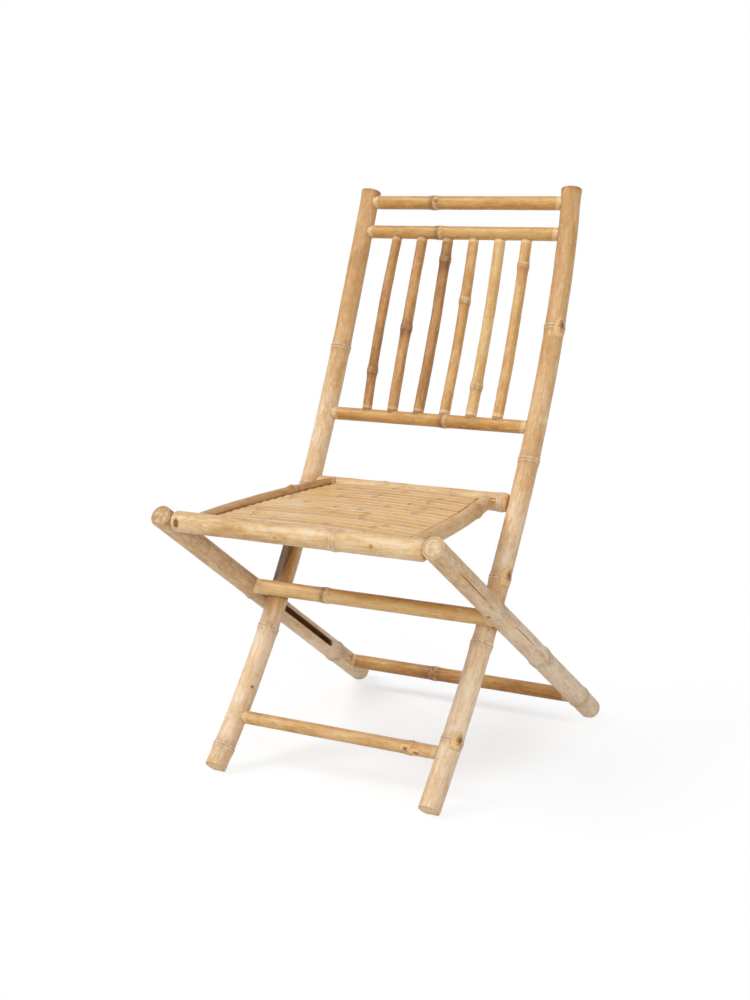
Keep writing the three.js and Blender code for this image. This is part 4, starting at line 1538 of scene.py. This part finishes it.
@dataclass
class BackFrame:
    """The two posts with their rails and the six spindles of the back."""

    layout: Layout
    finishes: Finishes
    top_spreads: Pair = (0.192, 0.195)
    low_bows: Pair = (-0.001, -0.006)
    high_bows: Pair = (0.022, 0.011)
    shortfalls: Pair = (0.0, 0.004)
    top_rounding: float = 0.003
    top_rail_height: float = 0.9085
    second_rail_height: float = 0.8572
    lower_rail_height: float = 0.546495
    stretcher_height: float = 0.079
    rail_radii: Triple = (0.0119, 0.0116, 0.0113)
    stretcher_radius: float = 0.0108
    spindle_pitch: float = 0.0498
    spindle_radius: float = 0.0082
    spindle_bow: float = 0.008
    spindle_top_shift: float = -0.001
    spindle_foot_shift: float = 0.006
    spindle_inset: float = 0.006
    spindle_ring_spacing: float = 0.0011
    spindle_sides: int = 28
    spindle_node_rise: float = 0.0018
    spindle_waviness: float = 0.0022
    spindle_offset: float = 3.1
    brown_spindles: int = 3
    radius_shares: Sequence[float] = (1.03, 1.13, 1.12, 1.1, 1.17, 1.13)
    node_shares: Sequence[float] = (0.225, 0.475, 0.87, 0.645, 0.18, 0.845)
    bow_shares: Sequence[float] = (-1, -0.3, 0.8, 1, 1, 1)
    spindle_shades: Sequence[float] = (-0.15, 0.15, -0.3, 0.0, 0.5, 0.25)
    spindle_stains: Sequence[float] = (0.3, 0.9, 0.9, 0.3, 0.1, 0.4)

    def __post_init__(self) -> None:
        """Lay out the posts' centre lines."""
        self.paths = {
            name: self.layout.post(side, *bends) for (name, side), *bends in zip(
                SIDES, self.top_spreads, self.low_bows, self.high_bows)}

    def build(self) -> None:
        """Build every piece of the back frame."""
        self._posts()
        self._rails()
        self._spindles()

    def _posts(self) -> None:
        """Build the two posts, each with its own nodes, knots and scars."""
        marks = {
            "left": dict(
                nodes=(0.107, 0.26, 0.366, 0.556, 0.771),
                knots=(Knot(0.772, -37, 0.012, 0.019), Knot(0.369, -30, 0.0125, 0.018),
                       Knot(0.107, -38, 0.011, 0.016), Knot(0.281, -52, 0.0022, 0.003, 0.0003),
                       Knot(0.556, 140, 0.009, 0.014)),
                # Shades of the left post: paler below (0.2), partly its own paler skin and partly painted
                # bounce light from the floor; the painted shadow of the seat just under it (0.33); a thin
                # painted contact shadow under the cross rail (0.2905); a pale scar, a darker top rim and a
                # darker upper part, which are its own tone.
                shades=(Shade(0.622, 0.005, 0.8, -3, 6.0), Shade(0.2, 0.32, 0.9), Shade(0.33, 0.04, -0.6),
                        Shade(0.2905, 0.003, -2.0), Shade(1.0, 0.006, -0.9), Shade(0.85, 0.35, -0.25)),
                seed=11),
            "right": dict(
                nodes=(0.033, 0.237, 0.485, 0.725),
                knots=(Knot(0.134, -39, 0.005, 0.0065, 0.0005), Knot(0.078, -133, 0.002, 0.003, 0.0003),
                       Knot(0.485, 150), Knot(0.237, 120, 0.009, 0.013)),
                # Shades of the right post: the painted shadow of the seat on its outer front side (0.366);
                # paler below (0.2), partly its own paler skin and partly painted bounce light from the floor;
                # a thin painted contact shadow under the cross rail (0.291); a darker top rim, a darker upper
                # part and a paler middle, which are its own tone.
                shades=(Shade(0.366, 0.07, -5.6, 222, 1.3), Shade(0.2, 0.34, 0.85),
                        Shade(0.291, 0.003, -2.0), Shade(1.0, 0.006, -0.9), Shade(0.88, 0.18, -0.4),
                        Shade(0.56, 0.09, 0.4)),
                seed=23),
        }
        for (name, path), shortfall in zip(self.paths.items(), self.shortfalls):
            culm = Culm(
                f"{name}_post_culm", path, self.layout.post_radii, start=End(edge=0.0009),
                end=End(EndForm.ROUNDED, self.top_rounding), shortfall=shortfall,
                wobble=0.0005, columns=72, on_floor=True, flare=0.0012, **marks[name])
            add_piece(culm.name, culm.mesh(), self.finishes.post, "back_frame", [f"{name}_post"])

    def _rail(self, name: str, height: float, radius: float, finish: Material,
              **marks: object) -> None:
        """Build a rail between the posts, from the right one to the left.

        Args:
            name: The rail's name.
            height: Where it meets the posts.
            radius: Its radius.
            finish: Its finish.
            marks: Its nodes, knots, shades and seed.
        """
        right, left = (on_path(self.paths[side], self.layout.post_radii, height)
                       for side in ("right", "left"))
        culm = Culm(f"{name}_culm", Path([right[0], left[0]], UP), (radius, radius), start=coped(*right),
                    end=coped(*left), columns=56, **marks)
        add_piece(culm.name, culm.mesh(), finish, "back_frame", [name])

    def _rails(self) -> None:
        """Build the three rails of the back and the stretcher at the front."""
        golden = self.finishes.rail
        top, second, lower = self.rail_radii
        # On each rail the last shade darkens the underside: painted shade. The other shades are the rails'
        # own tone.
        self._rail("top_back_rail", self.top_rail_height, top, golden, nodes=(0.34,), seed=31,
                   shades=(Shade(0.7, 0.2, 0.15), Shade(0.5, 3.0, -0.3, 165, 2.0)),
                   knots=(Knot(0.36, 70, 0.004, 0.006, 0.0004),))
        self._rail("second_back_rail", self.second_rail_height, second, golden, nodes=(0.39,), seed=32,
                   shades=(Shade(0.75, 0.25, 0.3), Shade(0.5, 3.0, -0.2, 165, 2.0)))
        self._rail("lower_back_rail", self.lower_rail_height, lower, golden, nodes=(0.58,), seed=33,
                   shades=(Shade(0.3, 0.3, -0.08), Shade(0.5, 3.0, -0.3, 165, 2.0)))
        self._rail("front_stretcher", self.stretcher_height, self.stretcher_radius, self.finishes.side_rail,
                   nodes=(0.835,), seed=34,
                   knots=(Knot(0.822, 72, 0.006, 0.009, 0.0009), Knot(0.868, 96, 0.005, 0.012, 0.0005)),
                   shades=(Shade(0.5, 0.5, 0.25), Shade(0.5, 3.0, -0.3, 160, 2.0)))

    def _spindles(self) -> None:
        """Build the spindles from one tree, with each one's own curve, node and shade."""
        foot, top = (on_path(self.paths["left"], self.layout.post_radii, height)[0]
                     for height in (self.lower_rail_height, self.second_rail_height))
        middle = (len(self.node_shares) - 1) / 2
        for number, share in enumerate(self.node_shares):
            x = self.layout.at(0, 0, 0)[0] + (number - middle) * self.spindle_pitch
            low = np.array([x + self.spindle_foot_shift, *foot[1:]])
            high = np.array([x + self.spindle_top_shift, *top[1:]])
            bow = np.array([0.0, 2 * self.spindle_bow * self.bow_shares[number], 0.0])
            path = Path([low, (low + high) / 2 + bow, high])
            places = np.linspace(self.spindle_inset, path.length - self.spindle_inset, 60)
            name = f"back_spindle_{number + 1}"
            radius = self.spindle_radius * self.radius_shares[number]
            brown = number < self.brown_spindles
            finish = self.finishes.brown_spindle if brown else self.finishes.spindle
            mesh = grown(
                f"{name}_culm", line_data(name, [path.frame_at(places)[0]]), culm_along_path(),
                Radius=radius, Spacing=self.spindle_ring_spacing, Sides=self.spindle_sides, Node_Share=share,
                Node_Rise=self.spindle_node_rise, Waviness=self.spindle_waviness,
                Shade=self.spindle_shades[number], Stain=self.spindle_stains[number],
                Offset=self.spindle_offset * number, Sunk=self.spindle_inset, Material=finish)
            add_piece(mesh.name, mesh, finish, "back_frame", [name])


@dataclass
class LegFrame:
    """The two slotted legs with the rail and the stretcher between them."""

    layout: Layout
    finishes: Finishes
    cross_rail_distance: float = 0.28
    stretcher_height: float = 0.0518
    slot_half: float = 0.0058
    slot_spare: float = 0.009
    slot_wall: float = 0.0055
    cross_rail_radius: float = 0.0128
    stretcher_radius: float = 0.0126
    channel_past: float = 0.0145
    channel_gap: float = 0.0002
    cutter_depth: float = 0.026
    channel_sides: int = 32
    slot_steps: int = 13

    def build(self) -> None:
        """Build every piece of the leg frame."""
        self._legs()
        self._rails()

    def _legs(self) -> None:
        """Build the legs and cut the slot for the pin into the inner side of each."""
        marks = {
            "left": dict(
                nodes=(0.327, 0.62, 0.9),
                knots=(Knot(0.18, -1, 0.002, 0.0022, 0.0002), Knot(0.31, 84, 0.0035, 0.006, -0.0006),
                       Knot(0.62, 150, 0.009, 0.014)),
                cracks=(Crack(27, 0.092, 0.245, 0.001), Crack(13, 0.405, 0.525, 0.0009)),
                shades=(Shade(0.7, 0.5, 0.85), Shade(0.0, 0.012, 0.22)), seed=41),
            "right": dict(
                nodes=(0.412, 0.84),
                knots=(Knot(0.412, 200, 0.009, 0.014), Knot(0.12, 20, 0.0018, 0.002, 0.0002)),
                cracks=(Crack(14, 0.43, 0.468, 0.0007), Crack(24, 0.42, 0.452, 0.0006)),
                shades=(Shade(0.15, 0.25, 0.1), Shade(0.8, 0.35, 0.7), Shade(0.0, 0.012, -0.5)),
                seed=42),
        }
        for name, side in SIDES:
            culm = Culm(
                f"{name}_leg_culm", self.layout.leg(side), self.layout.leg_radii,
                start=End(edge=0.001), end=End(EndForm.ROUNDED, self.layout.leg_edge),
                columns=72, wobble=0.0005, on_floor=True, **marks[name])
            mesh = self._slotted(culm, side)
            add_piece(culm.name, mesh, self.finishes.leg, "leg_frame", [f"{name}_leg"])

    def _slotted(self, culm: Culm, side: int) -> Mesh:
        """Cut the slot and the channel behind it out of a leg.

        Args:
            culm: The leg.
            side: 1 for the left, -1 for the right.

        Returns:
            The cut mesh, with the attributes that the finish reads.
        """
        start = self.layout.pin_distance + self.layout.leg_past_rail
        end = start + self.layout.pin_travel + self.slot_spare
        radius = float(culm.radii[0]) - self.slot_wall + self.channel_gap
        turns = np.linspace(0, 2 * np.pi, self.channel_sides + 1)[:-1]
        same = np.ones_like(turns)
        channel = [culm.path.place(at * same, turns, radius * same)
                   for at in (start - self.channel_past, end + self.channel_past)]
        halfway = np.linspace(-np.pi / 2, np.pi / 2, self.slot_steps)
        reach, width = self.slot_half * np.cos(halfway), self.slot_half * np.sin(halfway)
        across = np.concatenate([-width, width])[:, None]
        centre, _, sideways, other = culm.path.frame_at(np.concatenate([start - reach, end + reach]))
        slot = [centre - side * depth * sideways + across * other for depth in (0.0, self.cutter_depth)]
        result = culm.mesh()
        for number, rings in enumerate((channel, slot)):
            result = self._without(result, self._prism(f"{culm.name}_cutter_{number}", rings))
        points = np.empty(len(result.vertices) * 3, np.float64)
        result.vertices.foreach_get("co", points)
        origin, axis, sideways, other = culm.path.frame_at(np.array(0.0))
        offset = points.reshape(-1, 3) - origin
        distance = offset @ axis
        x, y = offset @ sideways, offset @ other
        radius, turn = np.hypot(x, y), np.arctan2(y, x)
        skin = culm.radius_at(distance, turn)
        inside = (distance > 0.003) & (distance < culm.length - 0.01)
        cut = np.where(inside, np.clip((skin - radius - 0.0006) / 0.0008, 0, 1), 0)
        face = (distance < 0.0007) & (radius < skin - 0.0011)
        cut = np.where(face, 1 - 0.5 * np.clip(radius / (skin - 0.001), 0, 1), cut)
        hollow = np.where(inside, np.clip((skin - self.slot_wall + 0.0018 - radius) / 0.001, 0, 1), 0)
        for name in ATTRIBUTES:
            if name in result.attributes:
                result.attributes.remove(result.attributes[name])
        culm.mark(result, distance, turn, radius, cut, hollow)
        return result

    @staticmethod
    def _prism(name: str, rings: Sequence[Array]) -> Mesh:
        """Join two outlines into a closed solid.

        Args:
            name: The mesh's name.
            rings: The outlines, with as many points each.

        Returns:
            The mesh.
        """
        count = len(rings[0])
        faces = [(k, (k + 1) % count, count + (k + 1) % count, count + k) for k in range(count)]
        faces += [tuple(range(count))[::-1], tuple(range(count, 2 * count))]
        mesh = plain_mesh(name, np.concatenate(rings), faces)
        fill = bmesh.new()
        fill.from_mesh(mesh)
        bmesh.ops.recalc_face_normals(fill, faces=fill.faces)
        fill.to_mesh(mesh)
        fill.free()
        return mesh

    @staticmethod
    def _without(mesh: Mesh, cutter: Mesh) -> Mesh:
        """Subtract one closed mesh from another.

        Args:
            mesh: The mesh that is cut.
            cutter: The mesh that cuts it.

        Returns:
            The cut mesh.
        """
        whole, tool = (in_scene(data.name, data) for data in (mesh, cutter))
        modifier = whole.modifiers.new("cut", "BOOLEAN")
        modifier.operation, modifier.solver, modifier.object = "DIFFERENCE", "EXACT", tool
        result = baked(whole, modifier)
        bpy.data.objects.remove(tool)
        return result

    def _rails(self) -> None:
        """Build the rail under the seat and the stretcher behind."""
        # The cross rail's top is darker, a painted shadow of the seat; its front is lighter, painted light;
        # its underside darker, painted shade. The rear stretcher's underside is painted shade too; its other
        # shades are its own tone.
        rows = (
            ("cross_rail", self.cross_rail_distance, self.cross_rail_radius, (0.32,), (),
             (Shade(0.5, 3.0, -0.7, 5, 4.0), Shade(0.5, 3.0, 1.0, 85, 1.5), Shade(0.5, 3.0, -0.2, 165, 1.5)),
             51),
            ("rear_stretcher", self.layout.leg_distance(self.stretcher_height), self.stretcher_radius,
             (0.405,), (Knot(0.405, 80, 0.008, 0.009, 0.001), Knot(0.388, 45, 0.005, 0.007, 0.0006),
              Knot(0.42, 50, 0.005, 0.006, 0.0006)),
             (Shade(0.5, 2.0, -0.35), Shade(0.5, 3.0, -0.4, 150, 1.5), Shade(0.4, 0.035, -0.8)), 52),
        )
        for name, distance, radius, nodes, knots, shades, seed in rows:
            ends = [self.layout.leg_point(side, distance) for side in (-1, 1)]
            share = (distance + self.layout.leg_past_rail) / self.layout.leg(1).length
            top, foot = self.layout.leg_radii
            start, end = (coped(point, self.layout.leg_along, top + share * (foot - top)) for point in ends)
            culm = Culm(f"{name}_culm", Path(ends, UP), (radius, radius), nodes=nodes, knots=knots,
                        shades=shades, start=start, end=end, columns=56, seed=seed)
            add_piece(culm.name, culm.mesh(), self.finishes.rail, "leg_frame", [name])


@dataclass
class SlidePins:
    """The pins that stand on the posts and run in the slots of the legs."""

    layout: Layout
    finishes: Finishes
    posts: dict[str, Path]
    radius: float = 0.0055
    past_axis: float = 0.008
    gap: float = 0.0016

    def build(self) -> None:
        """Build both pins."""
        height = self.layout.leg_point(1, self.layout.pin_distance)[2]
        for name, side in SIDES:
            crossing = self.layout.leg_point(side, self.layout.pin_distance)
            post, _, radius = on_path(self.posts[name], self.layout.post_radii, height)
            inner = np.array([post[0] + side * (radius + self.gap), *crossing[1:]])
            outer = crossing + side * self.past_axis * ACROSS
            culm = Culm(f"{name}_slide_pin_culm", Path([inner, outer], UP), (self.radius, self.radius),
                        wobble=0.00005, columns=32, spacing=0.003, seed=60 + side)
            add_piece(culm.name, culm.mesh(), self.finishes.side_rail, "slide_pins", [f"{name}_slide_pin"])


@dataclass
class Seat:
    """The seat's frame with its split slats, the bearers under them and the pivot dowels."""

    layout: Layout
    finishes: Finishes
    posts: dict[str, Path]
    front_radius: float = 0.0166
    rear_radius: float = 0.0153
    rounding: float = 0.005
    running_gap: float = 0.0007
    side_spreads: Triple = (0.184, 0.187, 0.145)
    side_radii: Pair = (0.0129, 0.0118)
    side_rises: tuple[Triple, Triple] = ((-0.002, -0.001, 0.0), (0.0, 0.0045, 0.004))
    slat_count: int = 17
    slat_gap: float = 0.0006
    slat_thickness: float = 0.0056
    slat_edge: float = 0.0036
    slat_rise: float = 0.0066
    slat_end_gap: float = 0.0016
    slat_shift: float = 0.0013
    row_gap: float = 0.0012
    crown: float = 0.0055
    crown_half_width: float = 0.172
    bearer_spread: float = 0.112
    bearer_radius: float = 0.0065
    bearer_gap: float = 0.0005
    bearer_inset: float = 0.007
    bearer_clearance: float = 0.0002
    slat_seed: int = 5
    slat_node_rise: float = 0.0008
    slat_unevenness: float = 0.0012
    leg_swell: float = 0.00003

    def build(self) -> None:
        """Build every piece of the seat."""
        self._cross_culms()
        self._side_rails()
        self._slats()
        self._bearers()
        self._dowels()

    @property
    def depth(self) -> float:
        """Distance between the two seat rails' centre lines."""
        return float(self.layout.rear_pivot[1] - self.layout.front_pivot[1])

    def _cross_culms(self) -> None:
        """Build the front and the rear seat rail, which end just inside the legs and the posts."""
        front, rear = self.layout.front_pivot, self.layout.rear_pivot
        half = self.layout.leg_spread - self.layout.leg_radii[0] - self.leg_swell - self.running_gap
        rounded = End(EndForm.ROUNDED, self.rounding)
        culm = Culm(
            "front_seat_rail_culm", Path([front - half * ACROSS, front + half * ACROSS], UP),
            (self.front_radius, self.front_radius), nodes=(0.66,), seed=71, wobble=0.0004,
            knots=(Knot(0.815, 84, 0.0035, 0.004, 0.0003), Knot(0.028, 88, 0.0095, 0.0058, -0.0012),
                   Knot(0.44, 100, 0.002, 0.004, 0.0002)),
            # The last shade darkens the underside: painted shade.
            shades=(Shade(0.85, 0.25, 0.25), Shade(0.3, 0.12, -0.15), Shade(0.5, 3.0, -0.25, 165, 2.0)),
            start=rounded, end=rounded)
        add_piece(culm.name, culm.mesh(), self.finishes.seat_rail, "seat", ["front_seat_rail"])
        ends = {}
        for name, side in SIDES:
            post, _, radius = on_path(self.posts[name], self.layout.post_radii, rear[2])
            ends[name] = np.array([post[0] - side * (radius + self.running_gap), *rear[1:]])
        culm = Culm(
            "rear_seat_rail_culm", Path([ends["right"], ends["left"]], UP),
            (self.rear_radius, self.rear_radius), nodes=(0.36, 0.965), seed=72, wobble=0.0004,
            cracks=(Crack(60, 0.9, 0.955, 0.0006), Crack(82, 0.91, 0.96, 0.0006)),
            shades=(Shade(0.5, 0.3, 0.1),),
            start=rounded, end=rounded)
        add_piece(culm.name, culm.mesh(), self.finishes.seat_rail, "seat", ["rear_seat_rail"])

    def _side_rails(self) -> None:
        """Build the rails under the seat's edges, coped to the front and the rear seat rail."""
        front, rear = self.layout.front_pivot, self.layout.rear_pivot
        # The left rail's inner side is darker beside the slat ends: painted shadow in the gap. On the right
        # rail the top is darker, painted shade, and the three narrow dark lines along its inner side are the
        # painted shadow of the gap beside the slat ends. The other shades are the rails' own tone.
        marks = {
            "left": dict(nodes=(0.77,), shades=(
                Shade(0.5, 0.6, 0.35), Shade(0.5, 3.0, -0.7, -105, 7.0)), seed=81),
            "right": dict(nodes=(0.7,), shades=(
                Shade(0.5, 3.0, 0.4), Shade(0.5, 3.0, -0.3, 0, 4.0), Shade(0.7, 0.06, 0.4),
                Shade(0.05, 0.24, -2.6, 67, 330.0), Shade(0.5, 0.24, -2.6, 79, 330.0),
                Shade(0.95, 0.24, -2.6, 72, 330.0)),
                seed=82, node_rise=0.0026),
        }
        finishes = {"left": self.finishes.side_rail, "right": self.finishes.brown_spindle}
        for (name, side), rises in zip(SIDES, self.side_rises):
            low, control, high = self.side_spreads
            path = Path([front + side * low * ACROSS + rises[0] * UP,
                         (front + rear) / 2 + side * control * ACROSS + rises[1] * UP,
                         rear + side * high * ACROSS + rises[2] * UP], UP)
            culm = Culm(
                f"{name}_side_rail_culm", path, self.side_radii, columns=56, wobble=0.0004,
                start=coped(front, ACROSS, self.front_radius), end=coped(rear, ACROSS, self.rear_radius),
                **marks[name])
            add_piece(culm.name, culm.mesh(), finishes[name], "seat", [f"{name}_side_rail"])

    def _slats(self) -> None:
        """Build the row of split slats from one tree."""
        front = self.layout.front_pivot
        row_front = front[1] + self.front_radius + self.row_gap
        row_rear = self.layout.rear_pivot[1] - self.rear_radius - self.row_gap
        pitch = (row_rear - row_front) / self.slat_count
        finish = self.finishes.slat
        mesh = grown(
            "seat_slats", bpy.data.meshes.new("seat_slats_start"), split_slats(), Count=self.slat_count,
            Seed=self.slat_seed, First=float(row_front + pitch / 2), Pitch=float(pitch),
            Width=float(pitch - self.slat_gap),
            Thickness=self.slat_thickness, Edge_Thickness=self.slat_edge,
            Top=float(front[2] + self.slat_rise), Crown=self.crown, Crown_Half_Width=self.crown_half_width,
            Front=float(front[1]), Depth=self.depth, Front_Spread=self.side_spreads[0],
            Middle_Spread=self.side_spreads[1], Rear_Spread=self.side_spreads[2],
            Front_Radius=self.side_radii[0], Rear_Radius=self.side_radii[1], End_Gap=self.slat_end_gap,
            Shift=self.slat_shift, Node_Rise=self.slat_node_rise, Unevenness=self.slat_unevenness,
            Material=finish)
        names = [f"seat_slat_{number + 1:02d}" for number in range(self.slat_count)]
        add_piece(mesh.name, mesh, finish, "seat", names)

    def _bearers(self) -> None:
        """Build the thin rods that the slats lie on."""
        front, rear = self.layout.front_pivot, self.layout.rear_pivot
        for number, x in enumerate((-self.bearer_spread, 0.0, self.bearer_spread)):
            crown = self.crown * (1 - (x / self.crown_half_width) ** 2)
            drop = self.slat_rise - self.slat_thickness + crown - self.bearer_gap - self.bearer_radius
            shift = np.array([x, 0.0, drop])
            ends = [front + [0, self.front_radius - self.bearer_inset, 0] + shift,
                    rear - [0, self.rear_radius - self.bearer_inset, 0] + shift]
            points = np.linspace(ends[0], ends[1], 40)
            name = f"seat_bearer_{number + 1}"
            finish = self.finishes.brown_spindle
            mesh = grown(
                f"{name}_rod", line_data(name, [points]), culm_along_path(),
                Radius=self.bearer_radius - self.bearer_clearance,
                Spacing=0.003, Sides=20, Node_Share=0.3 + 0.2 * number, Node_Rise=0.0002, Waviness=0.0004,
                Shade=-0.2, Stain=0.2, Offset=5.3 + number, Sunk=0.0, Material=finish)
            add_piece(mesh.name, mesh, finish, "seat", [name])

    def _dowels(self) -> None:
        """Dress the pivot dowels, which keep their solids."""
        for name, node in frame["nodes"].items():
            if name.endswith("pivot_dowel"):
                node.data.materials.clear()
                node.data.materials.append(self.finishes.dowel)
                log.info("%s: kept from the frame", name)


@dataclass
class Studio:
    """The floor, the lights and the camera."""

    floor_reach: float = 9.0
    floor_drop: float = 0.0002
    shadow_centre: Pair = (-0.03, 0.1)
    shadow_reach: Pair = (0.17, 0.36)
    faded: float = 0.72
    white_reach: Pair = (0.45, 1.1)
    floor_colour: float = 0.8
    floor_seen: Colour = (0.73, 0.748, 0.77)
    floor_lift: float = 0.425
    sky: float = 0.38
    camera_place: Triple = (1.24239, -2.28977, 0.95784)
    yaw: float = math.radians(29.0549)
    pitch: float = math.radians(11.4528)
    roll: float = math.radians(-0.3366)
    lens: float = 57.797
    sensor: float = 36.0

    def build(self) -> None:
        """Build the whole studio."""
        self._floor()
        self._world()
        self._light("key", (-0.75, -0.45, 1.0), 30.0, 1.25)
        self._light("front", (0.55, -1.0, 0.4), 60.0, 1.4)
        self._camera()
        bpy.context.scene.view_settings.view_transform = "Standard"

    @staticmethod
    def _seen(tree: Tree) -> Value:
        """1 where the camera, a reflection or glass looks, 0 where light is gathered."""
        rays = tree.outputs("ShaderNodeLightPath")
        return tree.most(rays["Is Camera Ray"], rays["Is Glossy Ray"], rays["Is Transmission Ray"])

    def _floor(self) -> None:
        """Lay a pale floor that turns to the white of the background away from the chair."""
        corners = [(x * self.floor_reach, y * self.floor_reach, -self.floor_drop)
                   for x, y in ((-1, -1), (1, -1), (1, 1), (-1, 1))]
        mesh = plain_mesh("studio_floor", np.array(corners), [(0, 1, 2, 3)])
        material = bpy.data.materials.new("studio_floor")
        tree = Tree.of(material)
        place = tree.outputs("ShaderNodeTexCoord")["Object"]
        place = tree.vector_maths("SUBTRACT", place, (*self.shadow_centre, 0.0))
        away = tree.vector_maths("LENGTH", place, output="Value")
        seen = self._seen(tree)
        shown = tree.mix(seen, (self.floor_colour,) * 3, self.floor_seen)
        diffuse = tree.value("ShaderNodeBsdfDiffuse", {"Color": shown})
        lift = tree.value("ShaderNodeEmission", {"Strength": seen * self.floor_lift})
        lit = tree.value("ShaderNodeAddShader", {0: diffuse, 1: lift})
        white = tree.value("ShaderNodeEmission", {"Color": (1.0, 1.0, 1.0), "Strength": 1.0})
        near = away.ramp(*self.shadow_reach, 0.0, self.faded)
        far = tree.most(near, away.ramp(*self.white_reach)) * seen
        tree.surface(tree.node("ShaderNodeMixShader", {0: far, 1: lit, 2: white}))
        mesh.materials.append(material)
        in_scene("studio_floor", mesh)

    def _world(self) -> None:
        """Surround the chair with soft light and a white background."""
        world = bpy.data.worlds.new("studio")
        tree = Tree.of(world)
        strength = self._seen(tree) * (1.0 - self.sky) + self.sky
        tree.surface(tree.node("ShaderNodeBackground", {"Color": (1.0, 1.0, 1.0), "Strength": strength}),
                     "ShaderNodeOutputWorld")
        bpy.context.scene.world = world

    @staticmethod
    def _light(name: str, source: tuple[float, float, float], softness: float, strength: float) -> None:
        """Add a wide, distant light that falls evenly on the whole chair.

        Args:
            name: Its name.
            source: The direction that it comes from.
            softness: How wide it looks from the chair, in degrees.
            strength: Its strength.
        """
        lamp = bpy.data.lights.new(name, "SUN")
        lamp.energy, lamp.angle = strength, math.radians(softness)
        in_scene(name, lamp).rotation_euler = (-Vector(source)).to_track_quat("-Z", "Y").to_euler()

    def _camera(self) -> None:
        """Set the camera where the photograph was taken from."""
        forward = np.array([-math.sin(self.yaw) * math.cos(self.pitch),
                            math.cos(self.yaw) * math.cos(self.pitch), -math.sin(self.pitch)])
        level = np.array([math.cos(self.yaw), math.sin(self.yaw), 0.0])
        right = level * math.cos(self.roll) + np.cross(level, forward) * math.sin(self.roll)
        up = np.cross(right, forward)
        camera = bpy.data.cameras.new("camera")
        camera.sensor_fit, camera.sensor_height, camera.lens = "VERTICAL", self.sensor, self.lens
        camera.clip_end = 50.0
        holder = in_scene("camera", camera)
        columns = np.column_stack([right, up, -forward, self.camera_place])
        holder.matrix_world = Matrix([*columns.tolist(), [0, 0, 0, 1]])
        bpy.context.scene.camera = holder


def main() -> None:
    """Build the studio and the chair, piece by piece."""
    logging.basicConfig(level=logging.INFO, format="%(name)s: %(message)s")
    layout = Layout.from_frame()
    finishes = Finishes()
    Studio().build()
    back = BackFrame(layout, finishes)
    back.build()
    LegFrame(layout, finishes).build()
    SlidePins(layout, finishes, back.paths).build()
    Seat(layout, finishes, back.paths).build()


if __name__ == "__main__":
    main()
